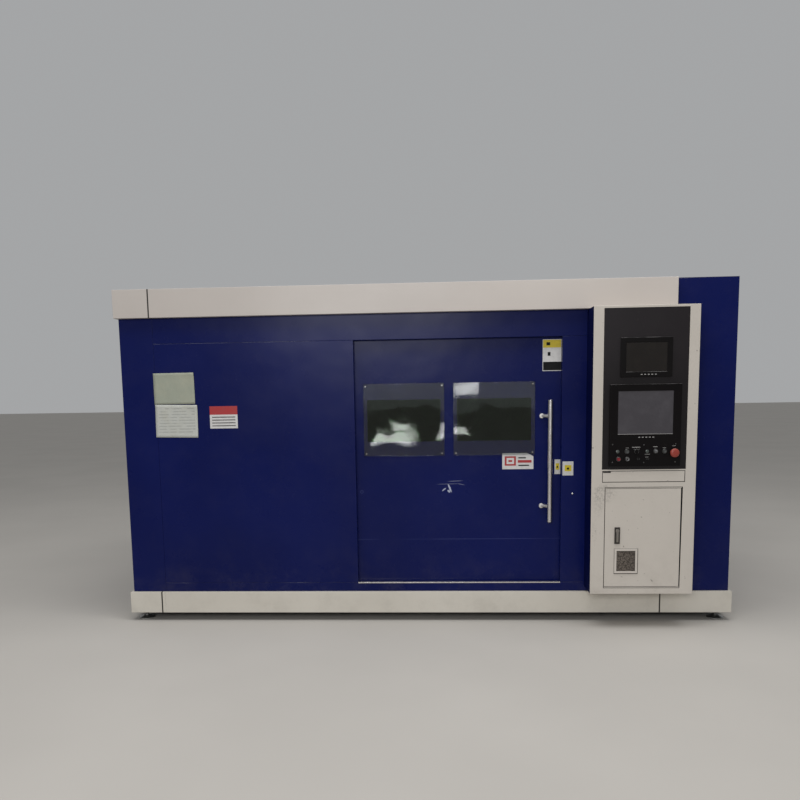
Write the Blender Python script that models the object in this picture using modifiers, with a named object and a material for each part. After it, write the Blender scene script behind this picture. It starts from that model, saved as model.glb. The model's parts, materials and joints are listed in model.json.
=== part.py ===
"""A fiber laser cutting machine: a closed sheet-metal enclosure with a sliding door, an operator
console and, inside, a bed with a slat table, a gantry and a cutting head. Metres, +Z up, front at -Y."""

import math

import bmesh
import bpy
from mathutils import Matrix, Vector

# Fits and sheet metal shared by every piece.
sheet = 0.002
fit_gap = 0.0003
panel_gap = 0.0006
flange = 0.035
overrun = 0.010
weld_distance = 0.00002

# The enclosure: outside of the blue skin, height to the roof.
body_width = 4.10
body_depth = 2.25
body_height = 2.28
roof_sheet = 0.003
corner_width = 0.23
column_width = 0.40
sill_height = 0.061
header_height = 0.355

# Plinth, fascia and feet.
plinth_clearance = 0.058
plinth_height = 0.147
plinth_proud = 0.020
plinth_lip = 0.012
plinth_right_return = 0.463
fascia_height = 0.188
fascia_proud = 0.050
fascia_side_proud = 0.015
foot_pad_radius = 0.055
foot_pad_height = 0.018
foot_stem_radius = 0.014
foot_nut_radius = 0.024
foot_nut_height = 0.016
foot_inset = 0.06

# Base frame of rectangular tube.
frame_tube_width = 0.12
frame_tube_height = 0.10
bed_support_shares = (0.2, 0.45, 0.7)

# Sliding door.
opening_width = 1.385
post_width = 0.16
door_clearance = 0.0037
door_thickness = 0.035
door_side_lap = 0.020
door_top_lap = 0.018
door_bottom_lap = 0.012
window_margin = 0.057
window_gap = 0.061
handle_zone = 0.172
window_drop = 0.292
window_height = 0.490
window_side_lap = 0.026
window_head_lap = 0.110
window_foot_lap = 0.098
pane_thickness = 0.006

# Pull handle.
handle_inset = 0.076
handle_length = 0.823
handle_radius = 0.0165
standoff_spacing = 0.61
standoff_radius = 0.011
handle_reach = 0.050
rosette_radius = 0.0165
rosette_thickness = 0.008
handle_stop_margin = 0.020

# Door track, hangers and wheel sets.
hanger_inset = 0.20
hanger_width = 0.060
hanger_plate = 0.006
hanger_clearance = 0.012
hanger_end_radius = 0.012
track_wall = 0.003
track_inner_width = 0.046
track_slot = 0.012
wheel_radius = 0.018
wheel_width = 0.010
wheel_gap = 0.0015
axle_radius = 0.004
track_headroom = 0.004
track_foot = 0.030
track_end_margin = 0.020
guide_clearance = 0.002
guide_cover = 0.010

# Operator console.
console_inset = 0.305
console_proud = 0.20
console_bottom = 0.237
side_strip = 0.065
panel_head = 0.015
panel_lap = 0.005
panel_plate = 0.003
panel_foot_strip = 0.010
drawer_height = 0.071
drawer_play = 0.0015
shelf_drop = 0.001
cabinet_gap = 0.041
cabinet_sill = 0.047
cabinet_side = 0.022
cabinet_play = 0.003

# Upper monitor.
monitor_width = 0.321
monitor_height = 0.247
monitor_drop = 0.185
monitor_proud = 0.014
monitor_back = 0.030
monitor_gap = 0.045
monitor_back_inset = 0.020
monitor_screen_width = 0.254
monitor_screen_height = 0.182
screen_recess = 0.004
screen_glass = 0.003

# Lower operating panel.
desk_side = 0.042
desk_foot = 0.022
desk_proud = 0.018
main_screen_width = 0.344
main_screen_height = 0.274
main_screen_drop = 0.043
main_screen_lap = 0.010
main_screen_side = 0.051
main_screen_foot = 0.204

# Controls on the operating panel: places as shares of its width, heights above its lower edge.
top_row_height = 0.095
low_row_height = 0.047
stop_height = 0.085
push_shares = {"upper_button": 0.246, "reset_button": 0.774}
turn_shares = {"mode_selector": 0.383, "key_switch": 0.651}
low_push_shares = {"red_button": 0.130, "ring_button": 0.255}
lamp_shares = (0.116, 0.532)
port_shares = (0.412, 0.541)
estop_share = 0.908
collar_radius = 0.0145
collar_height = 0.006
cap_radius = 0.0105
cap_height = 0.012
cap_depth = 0.007
cap_edge = 0.0015
knob_length = 0.034
knob_width = 0.009
knob_height = 0.020
key_bow_width = 0.020
key_bow_height = 0.026
key_bow_thickness = 0.003
estop_radius = 0.028
estop_height = 0.032
estop_rim = 0.014
estop_stem_radius = 0.0125
estop_collar_radius = 0.019
estop_crown_radius = 0.010
estop_underside = 0.015
port_width = 0.013
port_height = 0.006

# Cabinet door, vent and latch.
cabinet_door_depth = 0.020
hinge_inset = 0.006
hinge_pin_radius = 0.003
hinge_pin_length = 0.007
lug_thickness = 0.004
lug_width = 0.022
vent_width = 0.148
vent_height = 0.162
vent_side = 0.067
vent_foot = 0.092
vent_rim = 0.014
vent_proud = 0.005
vent_slats = 9
vent_slat_thickness = 0.0015
vent_slat_depth = 0.012
vent_lap = 0.004
latch_width = 0.035
latch_height = 0.110
latch_thickness = 0.008
latch_side = 0.065
latch_foot = 0.287
lever_radius = 0.012
lever_length = 0.075
lever_thickness = 0.008
lever_tip_radius = 0.008
lever_drop = 0.022

# Keyboard.
keyboard_width = 0.44
keyboard_depth = 0.135
keyboard_height = 0.016
key_rows = 5
key_row_height = 0.005
key_row_gap = 0.003
keyboard_rim = 0.008
keyboard_side_gap = 0.0365
keyboard_rear_gap = 0.023

# Walls' exhaust collar.
exhaust_radius = 0.125
exhaust_wall = 0.003
exhaust_flange_radius = 0.165
exhaust_flange_thickness = 0.004
exhaust_length = 0.060
exhaust_share = 0.35
exhaust_height = 0.55

# Roof stiffeners.
rib_shares = (0.2, 0.4, 0.6, 0.8)
rib_width = 0.060
rib_height = 0.030
rib_margin = 0.060

# Bed, slat table and rails.
bed_side_margin = 0.16
bed_front_margin = 0.21
bed_rear_margin = 0.13
bed_height = 0.60
bed_beam = 0.20
bed_ledge = 0.025
bed_floor = 0.060
table_depth = 0.160
table_play = 0.003
table_beam = 0.040
table_beam_height = 0.070
slat_pitch = 0.150
slat_thickness = 0.004
slat_height = 0.120
tooth_pitch = 0.10
tooth_depth = 0.030
slat_seat = 0.020
window_port_width = 0.36
window_port_height = 0.16
port_pitch = 0.7325
rail_width = 0.034
rail_height = 0.034
rail_waist = 0.006
rail_end_margin = 0.05
rail_inset = 0.085
rail_height_shares = (0.3, 0.5, 0.65, 0.8)

# Gantry, carriage and head.
gantry_park = 0.26
saddle_length = 0.30
saddle_width = 0.13
saddle_height = 0.10
saddle_skirt = 0.020
beam_width = 0.18
beam_height = 0.22
beam_pockets = 7
pocket_rim = 0.030
pocket_depth = 0.060
motor_radius = 0.045
motor_height = 0.15
motor_flange = 0.055
motor_flange_thickness = 0.014
carriage_width = 0.16
carriage_thickness = 0.035
carriage_overhang = 0.035
carriage_drop = 0.050
carriage_hook = 0.060
carriage_park = 0.155
beam_rail_width = 0.020
beam_rail_height = 0.014
beam_rail_inset = 0.040
z_motor_side = 0.070
z_motor_height = 0.14
head_width = 0.090
head_depth = 0.080
head_height = 0.200
head_drop = 0.020
head_nose_height = 0.060
head_nose_radius = 0.026
head_bevel = 0.008
nozzle_radius = 0.014
nozzle_tip_radius = 0.004
nozzle_length = 0.022
nozzle_collar = 0.006

# Partition and laser source.
partition_inset = 0.030
source_margin = 0.050
source_depth = 0.80
source_height = 0.90
source_front = 0.60
source_handle_radius = 0.006
source_handle_height = 0.180
source_handle_reach = 0.035
source_vent_count = 6
source_vent_height = 0.012
source_vent_pitch = 0.030
source_vent_depth = 0.004

# Numbers of facets, and the angle under which an edge between them is shaded smooth.
round_sides = 24
small_sides = 16
round_edge = math.radians(40)

# Colours and how they take the light: base colour, roughness, metallic.
blue_paint = ((0.008, 0.010, 0.085), 0.25, 0.0)
white_paint = ((0.62, 0.59, 0.55), 0.40, 0.0)
black_paint = ((0.018, 0.016, 0.018), 0.35, 0.0)
dark_screen = ((0.02, 0.02, 0.022), 0.15, 0.0)
tinted_glass = ((0.02, 0.035, 0.03), 0.08, 0.0)
stainless = ((0.62, 0.61, 0.60), 0.28, 1.0)
zinc_steel = ((0.45, 0.45, 0.46), 0.45, 1.0)
grey_iron = ((0.20, 0.21, 0.22), 0.60, 0.0)
steel_plate = ((0.30, 0.29, 0.28), 0.55, 1.0)
alloy = ((0.60, 0.60, 0.61), 0.38, 1.0)
motor_black = ((0.03, 0.03, 0.03), 0.45, 0.0)
red_plastic = ((0.55, 0.02, 0.02), 0.35, 0.0)
grey_plastic = ((0.22, 0.22, 0.23), 0.45, 0.0)
copper = ((0.75, 0.38, 0.20), 0.30, 1.0)
rubber_black = ((0.02, 0.02, 0.02), 0.80, 0.0)

# Derived places. Width from the left, depth from the front, height from the floor.
left, right = -body_width / 2, body_width / 2
panel_back_y = sheet + fit_gap
desk_face_reach = desk_proud - panel_back_y
front_reach = console_proud + desk_face_reach + estop_height
total_depth = front_reach + body_depth + exhaust_length
front = -total_depth / 2 + front_reach
rear = front + body_depth
plinth_top = plinth_clearance + plinth_height
base_top = plinth_top - sheet - fit_gap
base_bottom = base_top - frame_tube_height
skin_bottom = plinth_top + fit_gap
wall_top = body_height - roof_sheet - fit_gap
sill_top = plinth_top + sill_height
header_bottom = wall_top - header_height
fascia_bottom = body_height - fascia_height
corner_right = left + corner_width
column_left = right - column_width
desk_width = main_screen_width + 2 * main_screen_side
panel_width = desk_width + 2 * desk_side
console_width = panel_width + 2 * side_strip
console_right = right - console_inset
console_left = console_right - console_width
console_front = front - console_proud
console_top = fascia_bottom - panel_gap
opening_right = console_left - post_width
opening_left = opening_right - opening_width
door_front = front + flange + pane_thickness + fit_gap + door_clearance
door_back = door_front + door_thickness
door_middle = (door_front + door_back) / 2
door_left = opening_left - door_side_lap
door_right = opening_right + door_side_lap
door_bottom = sill_top - door_bottom_lap
door_top = header_bottom + door_top_lap
panel_left = console_left + side_strip
panel_right = console_right - side_strip
panel_middle = (panel_left + panel_right) / 2
panel_top = console_top - panel_head
monitor_top = panel_top - monitor_drop
monitor_bottom = monitor_top - monitor_height
desk_top = monitor_bottom - monitor_gap
desk_bottom = desk_top - main_screen_drop - main_screen_height - main_screen_foot
panel_bottom = desk_bottom - desk_foot
panel_face = console_front + panel_back_y
desk_left = panel_left + desk_side
desk_right = panel_right - desk_side
desk_face = panel_face - desk_proud
drawer_top = panel_bottom - panel_foot_strip
drawer_bottom = drawer_top - drawer_height
drawer_width = keyboard_width + 2 * (keyboard_side_gap + sheet)
drawer_left = panel_middle - drawer_width / 2
drawer_right = panel_middle + drawer_width / 2
drawer_depth = keyboard_rim + keyboard_depth + keyboard_rear_gap + 2 * sheet
cabinet_top = drawer_bottom - cabinet_gap
cabinet_bottom = console_bottom + cabinet_sill
cabinet_left = panel_left + cabinet_side
cabinet_right = panel_right - cabinet_side
bed_left = left + bed_side_margin
bed_right = column_left - bed_side_margin
bed_front = front + bed_front_margin
bed_rear = rear - bed_rear_margin
bed_bottom = base_top + fit_gap
bed_top = bed_bottom + bed_height
rail_top = bed_top + fit_gap + rail_height
table_floor = bed_top - table_depth
front_rail_y = bed_front + rail_inset
rear_rail_y = bed_rear - rail_inset
gantry_x = bed_left + gantry_park
saddle_bottom = rail_top - saddle_skirt
saddle_top = saddle_bottom + saddle_height
beam_top = saddle_top + beam_height
beam_side = gantry_x + beam_width / 2


def clear_scene():
    for obj in list(bpy.data.objects):
        bpy.data.objects.remove(obj)
    for collection in list(bpy.data.collections):
        bpy.data.collections.remove(collection)


def collections():
    parts = bpy.data.collections.new("laser_cutting_machine")
    tools = bpy.data.collections.new("shaping_tools")
    for collection in (parts, tools):
        bpy.context.scene.collection.children.link(collection)
    return parts, tools


clear_scene()
parts, tools = collections()


def add_box(bm, low, high):
    size = [b - a for a, b in zip(low, high)]
    middle = [(a + b) / 2 for a, b in zip(low, high)]
    matrix = Matrix.Translation(middle) @ Matrix.Diagonal((*size, 1))
    return bmesh.ops.create_cube(bm, size=1, matrix=matrix)["verts"]


def add_cylinder(bm, start, end, radius, sides=round_sides, end_radius=None):
    axis = Vector(end) - Vector(start)
    turn = axis.to_track_quat("Z", "Y").to_matrix().to_4x4()
    matrix = Matrix.Translation((Vector(start) + Vector(end)) / 2) @ turn
    bmesh.ops.create_cone(
        bm,
        cap_ends=True,
        segments=sides,
        radius1=radius,
        radius2=radius if end_radius is None else end_radius,
        depth=axis.length,
        matrix=matrix,
    )


def boxes(*corners):
    bm = bmesh.new()
    for low, high in corners:
        add_box(bm, low, high)
    return bm


def cylinders(*rounds, sides=round_sides):
    bm = bmesh.new()
    for start, end, radius in rounds:
        add_cylinder(bm, start, end, radius, sides)
    return bm


def material_for(name, finish):
    colour, roughness, metallic = finish
    material = bpy.data.materials.new(name + "_finish")
    material.use_nodes = True
    shader = material.node_tree.nodes["Principled BSDF"]
    shader.inputs["Base Color"].default_value = (*colour, 1.0)
    shader.inputs["Roughness"].default_value = roughness
    shader.inputs["Metallic"].default_value = metallic
    material.diffuse_color = (*colour, 1.0)
    return material


def piece(name, bm, finish, pivot=(0, 0, 0)):
    """A sub-part from a mesh in the machine's frame, with its origin at the pivot."""
    mesh = bpy.data.meshes.new(name)
    bm.to_mesh(mesh)
    bm.free()
    mesh.transform(Matrix.Translation(-Vector(pivot)))
    obj = bpy.data.objects.new(name, mesh)
    obj.location = pivot
    mesh.materials.append(material_for(name, finish))
    parts.objects.link(obj)
    return obj


def tool(name, bm):
    mesh = bpy.data.meshes.new(name)
    bm.to_mesh(mesh)
    bm.free()
    obj = bpy.data.objects.new(name, mesh)
    obj.hide_render = True
    obj.display_type = "WIRE"
    tools.objects.link(obj)
    return obj


def combine(obj, label, bm, operation, crossing):
    modifier = obj.modifiers.new(label, "BOOLEAN")
    modifier.operation = operation
    modifier.solver = "EXACT"
    modifier.use_self = crossing
    modifier.object = tool(obj.name + "_" + label, bm)


def cut(obj, label, bm, crossing=False):
    combine(obj, label, bm, "DIFFERENCE", crossing)


def weld(obj, label, bm, crossing=False):
    combine(obj, label, bm, "UNION", crossing)


def pan(name, low, high, open_side, finish, wall=sheet, pivot=(0, 0, 0)):
    """A folded sheet: a box with one side left open and a wall that lies inside the stated corners."""
    bm = bmesh.new()
    add_box(bm, low, high)
    way = Vector(open_side)
    bm.normal_update()
    bmesh.ops.delete(bm, geom=[f for f in bm.faces if f.normal.dot(way) > 0.5], context="FACES")
    obj = piece(name, bm, finish, pivot)
    solidify = obj.modifiers.new("sheet", "SOLIDIFY")
    solidify.thickness = wall
    solidify.offset = -1
    solidify.use_even_offset = True
    return obj


def turned(name, profile, centre, direction, finish, sides=round_sides):
    """A turned piece: (radius, height) pairs from the top of the axis down its outer side."""
    mesh = bpy.data.meshes.new(name)
    points = [(radius, 0, height) for radius, height in profile]
    mesh.from_pydata(points, [(i, i + 1) for i in range(len(points) - 1)], [])
    obj = bpy.data.objects.new(name, mesh)
    obj.location = centre
    obj.rotation_euler = Vector(direction).to_track_quat("Z", "Y").to_euler()
    mesh.materials.append(material_for(name, finish))
    parts.objects.link(obj)
    screw = obj.modifiers.new("turn", "SCREW")
    screw.axis = "Z"
    screw.angle = math.tau
    screw.steps = sides
    screw.render_steps = sides
    screw.use_merge_vertices = True
    screw.merge_threshold = weld_distance
    screw.use_smooth_shade = True
    return obj


def ring_turned(name, profile, centre, direction, finish, sides=round_sides):
    """A turned ring: its closed (radius, height) outline never meets the axis."""
    obj = turned(name, [*profile, profile[0]], centre, direction, finish, sides)
    return obj


def extrusion(bm, outline, start, end):
    """A closed outline of (y, z) pairs drawn out along X from start to end."""
    near = [bm.verts.new((start, y, z)) for y, z in outline]
    bottom = bm.faces.new(near)
    drawn = bmesh.ops.extrude_face_region(bm, geom=[bottom])
    moved = [item for item in drawn["geom"] if isinstance(item, bmesh.types.BMVert)]
    bmesh.ops.translate(bm, verts=moved, vec=(end - start, 0, 0))
    bmesh.ops.recalc_face_normals(bm, faces=bm.faces)


def smooth(obj):
    obj.data.shade_smooth()
    obj.data.set_sharp_from_angle(angle=round_edge)


# Levelling feet: a pad, a lock nut and a threaded stem up to the frame.
def feet():
    rows = {"front": front + foot_inset, "rear": rear - foot_inset}
    columns = {"left": left + foot_inset, "right": right - foot_inset}
    stem_top = base_bottom - fit_gap
    nut_bottom = stem_top - foot_nut_height
    profile = [
        (0, stem_top),
        (foot_nut_radius, stem_top),
        (foot_nut_radius, nut_bottom),
        (foot_stem_radius, nut_bottom),
        (foot_stem_radius, foot_pad_height),
        (foot_pad_radius, foot_pad_height / 2),
        (foot_pad_radius, 0),
        (0, 0),
    ]
    for row, y in rows.items():
        for column, x in columns.items():
            turned(f"foot_{row}_{column}", profile, (x, y, 0), (0, 0, 1), zinc_steel, small_sides)


# Base frame: an outer ring of tube with cross members under the bed and the partition.
def base_frame():
    obj = piece("base_frame", boxes(((left, front, base_bottom), (right, rear, base_top))), grey_iron)
    supports = [bed_left + share * (bed_right - bed_left) for share in bed_support_shares]
    members = [left, *supports, column_left, right - frame_tube_width]
    bays = bmesh.new()
    for near, far in zip(members[:-1], members[1:]):
        if far > near + frame_tube_width:
            low = (near + frame_tube_width, front + frame_tube_width, base_bottom - overrun)
            add_box(bays, low, (far, rear - frame_tube_width, base_top + overrun))
    cut(obj, "bays", bays)


def lipped_sheet(name, path, lips, bottom, top, finish, lower_lip=False):
    """A sheet that follows a path in plan, with its top edge folded inwards by each leg's lip and,
    where asked, its lower edge too. The path has the inside on its right hand."""
    ways = [(Vector(b) - Vector(a)).normalized() for a, b in zip(path[:-1], path[1:])]
    inward = [Vector((way.y, -way.x)) * lip for way, lip in zip(ways, lips)]
    bm = bmesh.new()
    grid = []
    for index, point in enumerate(path):
        edge = Vector(point)
        legs = inward[max(index - 1, 0):index + 1]
        fold = edge + sum(legs, Vector((0, 0)))
        column = [bm.verts.new((*fold, top)), bm.verts.new((*edge, top)), bm.verts.new((*edge, bottom))]
        if lower_lip:
            column.append(bm.verts.new((*fold, bottom)))
        grid.append(column)
    for near, far in zip(grid[:-1], grid[1:]):
        for i in range(len(near) - 1):
            bm.faces.new((near[i], far[i], far[i + 1], near[i + 1]))
    obj = piece(name, bm, finish)
    solidify = obj.modifiers.new("sheet", "SOLIDIFY")
    solidify.thickness = sheet
    solidify.offset = -1
    solidify.use_even_offset = True
    return obj


# Plinth: white kick sheets that stand proud of the skin and lap over the base frame.
def plinth():
    out_left, out_right = left - plinth_proud, right + plinth_proud
    out_front, out_rear = front - plinth_proud, rear + plinth_proud
    seam_right = right - plinth_right_return
    lip = plinth_proud + plinth_lip
    half = panel_gap / 2
    side_end = out_rear - lip - half
    plans = {
        "plinth_front": [(seam_right - half, out_front), (corner_right + half, out_front)],
        "plinth_left": [(corner_right - half, out_front), (out_left, out_front), (out_left, side_end)],
        "plinth_right": [(out_right, side_end), (out_right, out_front), (seam_right + half, out_front)],
        "plinth_rear": [(out_left, out_rear), (out_right, out_rear)],
    }
    for name, path in plans.items():
        lips = [lip] * (len(path) - 1)
        lipped_sheet(name, path, lips, plinth_clearance, plinth_top, white_paint)


# Fascia: the white band round the top, a channel that stands further out than the skin.
def fascia():
    half = panel_gap / 2
    out_front = front - fascia_proud
    out_left = left - fascia_side_proud
    front_lip = fascia_proud - fit_gap
    side_lip = fascia_side_proud - fit_gap
    fascia_end = column_left - half
    path = [(fascia_end, out_front), (corner_right + half, out_front)]
    band = lipped_sheet("fascia_front", path, [front_lip], fascia_bottom, body_height, white_paint, True)
    low = (fascia_end - sheet, out_front, fascia_bottom)
    weld(band, "end", boxes((low, (fascia_end, front - fit_gap, body_height))))
    path = [(corner_right - half, out_front), (out_left, out_front), (out_left, rear)]
    lips = [front_lip, side_lip]
    lipped_sheet("fascia_left", path, lips, fascia_bottom, body_height, white_paint, True)


# Skin: blue folded panels, each a tray with its edges turned in.
def skin():
    half = panel_gap / 2
    after_corner = corner_right + half
    before_column = column_left - half
    header_edge = header_bottom + half
    sill_edge = sill_top - half
    faces = {
        "corner_panel": ((left, skin_bottom), (corner_right - half, wall_top)),
        "header_panel": ((after_corner, header_edge), (before_column, wall_top)),
        "front_panel": ((after_corner, sill_top + half), (opening_left, header_bottom - half)),
        "post_panel": ((opening_right, sill_top + half), (before_column, header_bottom - half)),
        "sill_panel": ((after_corner, skin_bottom), (before_column, sill_edge)),
        "column_panel": ((column_left + half, skin_bottom), (right, wall_top)),
    }
    for name, ((x0, z0), (x1, z1)) in faces.items():
        pan(name, (x0, front, z0), (x1, front + flange, z1), (0, 1, 0), blue_paint)
    side_front = front + flange + panel_gap
    side_rear = rear - flange - panel_gap
    low, high = (left, side_front, skin_bottom), (left + flange, side_rear, wall_top)
    pan("left_wall", low, high, (1, 0, 0), blue_paint)
    low, high = (right - flange, side_front, skin_bottom), (right, side_rear, wall_top)
    pan("right_wall", low, high, (-1, 0, 0), blue_paint)
    low, high = (left, rear - flange, skin_bottom), (right, rear, wall_top)
    wall = pan("rear_wall", low, high, (0, -1, 0), blue_paint)
    x = left + exhaust_share * (right - left)
    start, end = (x, rear - sheet - overrun, exhaust_height), (x, rear + overrun, exhaust_height)
    cut(wall, "exhaust_hole", cylinders((start, end, exhaust_radius)))
    outline = [
        (exhaust_radius, exhaust_length),
        (exhaust_radius + exhaust_wall, exhaust_length),
        (exhaust_radius + exhaust_wall, exhaust_flange_thickness),
        (exhaust_flange_radius, exhaust_flange_thickness),
        (exhaust_flange_radius, fit_gap),
        (exhaust_radius, fit_gap),
    ]
    ring_turned("exhaust_collar", outline, (x, rear, exhaust_height), (0, 1, 0), zinc_steel)


# Roof: one sheet on the walls, stiffened by ribs underneath.
def roof():
    under = body_height - roof_sheet
    obj = piece("roof", boxes(((left, front, under), (right, rear, body_height))), blue_paint)
    ribs = bmesh.new()
    for share in rib_shares:
        x = left + share * (right - left)
        low = (x - rib_width / 2, front + rib_margin, under - rib_height)
        add_box(ribs, low, (x + rib_width / 2, rear - rib_margin, under + roof_sheet / 2))
    weld(obj, "ribs", ribs)


# Partition: a folded sheet between the cutting chamber and the electrical compartment.
def partition():
    x = column_left + partition_inset
    low = (x, front + flange + fit_gap, base_top + fit_gap)
    high = (x + flange, rear - flange - fit_gap, wall_top)
    pan("partition", low, high, (1, 0, 0), white_paint)


# Laser source: a cabinet with two lifting handles and vent slots, behind the right column.
def laser_source():
    x0 = column_left + partition_inset + flange + source_margin
    x1 = right - flange - source_margin
    y0 = front + source_front
    z0 = base_top + fit_gap
    body = boxes(((x0, y0, z0), (x1, y0 + source_depth, z0 + source_height)))
    obj = piece("laser_source", body, grey_plastic)
    grips = bmesh.new()
    grip_y = y0 - source_handle_reach
    for x in ((3 * x0 + x1) / 4, (x0 + 3 * x1) / 4):
        top = z0 + source_height - source_handle_height / 2
        bottom = top - source_handle_height
        for z in (bottom, top):
            add_cylinder(grips, (x, grip_y, z), (x, y0 + fit_gap, z), source_handle_radius, small_sides)
        low = (x, grip_y, bottom - source_handle_radius)
        high = (x, grip_y, top + source_handle_radius)
        add_cylinder(grips, low, high, source_handle_radius, small_sides)
    weld(obj, "grips", grips, crossing=True)
    slots = bmesh.new()
    for k in range(source_vent_count):
        z = z0 + source_vent_pitch * (k + 1)
        low = (x0 + source_margin / 2, y0 - overrun, z)
        high = (x1 - source_margin / 2, y0 + source_vent_depth, z + source_vent_height)
        add_box(slots, low, high)
    cut(obj, "slots", slots)


# Door track: a C-shaped rail behind the header. The wheels run on its two lower lips.
lip_bottom = door_top + hanger_clearance
lip_top = lip_bottom + track_wall
axle_height = lip_top + fit_gap + wheel_radius
track_roof = axle_height + wheel_radius + track_headroom
hanger_places = {"left": door_left + hanger_inset, "right": door_right - hanger_inset}


def door_rails():
    near, far = corner_right + track_end_margin, door_right + track_end_margin
    inner, outer = track_inner_width / 2, track_inner_width / 2 + track_wall
    slot = track_slot / 2
    web = front + panel_back_y
    roof_top = track_roof + track_wall
    y = door_middle
    outline = [
        (y + slot, lip_bottom),
        (y + outer, lip_bottom),
        (y + outer, roof_top),
        (web + track_wall, roof_top),
        (web + track_wall, roof_top + track_foot),
        (web, roof_top + track_foot),
        (web, track_roof),
        (y - outer, track_roof),
        (y - outer, lip_bottom),
        (y - slot, lip_bottom),
        (y - slot, lip_top),
        (y - inner, lip_top),
        (y - inner, track_roof),
        (y + inner, track_roof),
        (y + inner, lip_top),
        (y + slot, lip_top),
    ]
    bm = bmesh.new()
    extrusion(bm, outline, near, far)
    piece("door_track", bm, zinc_steel)
    floor = base_top + fit_gap
    edge = door_bottom + guide_cover
    inside = door_front - guide_clearance, door_back + guide_clearance
    outline = [
        (inside[0] - sheet, floor),
        (inside[1] + sheet, floor),
        (inside[1] + sheet, edge),
        (inside[1], edge),
        (inside[1], floor + sheet),
        (inside[0], floor + sheet),
        (inside[0], edge),
        (inside[0] - sheet, edge),
    ]
    bm = bmesh.new()
    extrusion(bm, outline, near, far)
    piece("door_bottom_guide", bm, zinc_steel)


# Door leaf: a tray with two window openings and, on its top edge, two welded hanger plates.
pane_width = (opening_width - window_margin - window_gap - handle_zone) / 2
pane_top = header_bottom - window_drop
pane_bottom = pane_top - window_height
pane_lefts = {
    "left": opening_left + window_margin,
    "right": opening_left + window_margin + pane_width + window_gap,
}


def door():
    low, high = (door_left, door_front, door_bottom), (door_right, door_back, door_top)
    leaf = pan("door_leaf", low, high, (0, 1, 0), blue_paint)
    holes = bmesh.new()
    for x in pane_lefts.values():
        low = (x + window_side_lap, door_front - overrun, pane_bottom + window_foot_lap)
        high = (x + pane_width - window_side_lap, door_front + sheet + overrun, pane_top - window_head_lap)
        add_box(holes, low, high)
    cut(leaf, "window_openings", holes)
    plates, pivots = bmesh.new(), bmesh.new()
    for x in hanger_places.values():
        low = (x - hanger_width / 2, door_middle - hanger_plate / 2, door_top - sheet / 2)
        high = (x + hanger_width / 2, door_middle + hanger_plate / 2, axle_height + hanger_end_radius)
        add_box(plates, low, high)
        start = (x, door_middle - hanger_plate, axle_height)
        end = (x, door_middle + hanger_plate, axle_height)
        add_cylinder(pivots, start, end, axle_radius + fit_gap, small_sides)
    weld(leaf, "hangers", plates)
    cut(leaf, "axle_holes", pivots)
    for side, x in pane_lefts.items():
        low = (x, door_front - fit_gap - pane_thickness, pane_bottom)
        high = (x + pane_width, door_front - fit_gap, pane_top)
        piece(f"window_{side}", boxes((low, high)), tinted_glass)
    inner = hanger_plate / 2 + wheel_gap
    outer = inner + wheel_width
    profile = [
        (0, outer),
        (wheel_radius, outer),
        (wheel_radius, inner),
        (axle_radius, inner),
        (axle_radius, -inner),
        (wheel_radius, -inner),
        (wheel_radius, -outer),
        (0, -outer),
    ]
    for side, x in hanger_places.items():
        turned(f"door_wheels_{side}", profile, (x, door_middle, axle_height), (0, 1, 0), zinc_steel)


# Pull handle: a stainless bar on two slanting standoffs, offset towards the opening edge.
def door_handle():
    x = opening_right - handle_inset
    y = door_front - fit_gap - handle_reach
    middle = (sill_top + header_bottom) / 2
    bar = [((x, y, middle - handle_length / 2), (x, y, middle + handle_length / 2), handle_radius)]
    obj = piece("door_handle", cylinders(*bar), stainless)
    arms = bmesh.new()
    feet_of_arms = bmesh.new()
    root_x = x - handle_reach
    root_y = door_front - fit_gap
    for z in (middle - standoff_spacing / 2, middle + standoff_spacing / 2):
        start = (root_x + rosette_thickness, root_y - rosette_thickness, z)
        add_cylinder(arms, start, (x, y, z), standoff_radius, small_sides)
        face = (root_x, root_y - rosette_thickness - standoff_radius, z)
        add_cylinder(feet_of_arms, face, (root_x, root_y, z), rosette_radius, small_sides)
    weld(obj, "arms", arms)
    weld(obj, "rosettes", feet_of_arms)
    smooth(obj)


# Console housing: a white box on the front skin, open at its back, with three openings in its face.
cabinet_door_right = cabinet_right - cabinet_play
hinge_x = cabinet_door_right - hinge_inset
hinge_y = console_front + hinge_inset
shelf_top = drawer_bottom + drawer_play - fit_gap


def console_housing():
    low, high = (console_left, console_front, console_bottom), (console_right, front - fit_gap, console_top)
    obj = pan("console_housing", low, high, (0, 1, 0), white_paint)
    reach = console_front - overrun, console_front + sheet + overrun
    slot_left, slot_right = drawer_left - drawer_play, drawer_right + drawer_play
    windows = boxes(
        ((panel_left, reach[0], panel_bottom), (panel_right, reach[1], panel_top)),
        ((slot_left, reach[0], drawer_bottom), (slot_right, reach[1], drawer_top)),
        ((cabinet_left, reach[0], cabinet_bottom), (cabinet_right, reach[1], cabinet_top)),
    )
    cut(obj, "face_openings", windows)
    inner_left, inner_right = console_left + sheet / 2, console_right - sheet / 2
    back = front - fit_gap
    shelf = (inner_left, console_front + sheet / 2, shelf_top - sheet), (inner_right, back, shelf_top)
    lug_front, lug_back = console_front + sheet / 2, hinge_y + lug_width / 2
    lugs = [
        ((hinge_x - lug_width / 2, lug_front, z), (hinge_x + lug_width / 2, lug_back, z + lug_thickness))
        for z in (cabinet_bottom - lug_thickness, cabinet_top)
    ]
    weld(obj, "shelf", boxes(shelf))
    weld(obj, "lugs", boxes(*lugs))
    start = (hinge_x, hinge_y, cabinet_bottom - lug_thickness - sheet)
    end = (hinge_x, hinge_y, cabinet_top + lug_thickness + sheet)
    cut(obj, "pin_holes", cylinders((start, end, hinge_pin_radius + fit_gap), sides=small_sides))


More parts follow.
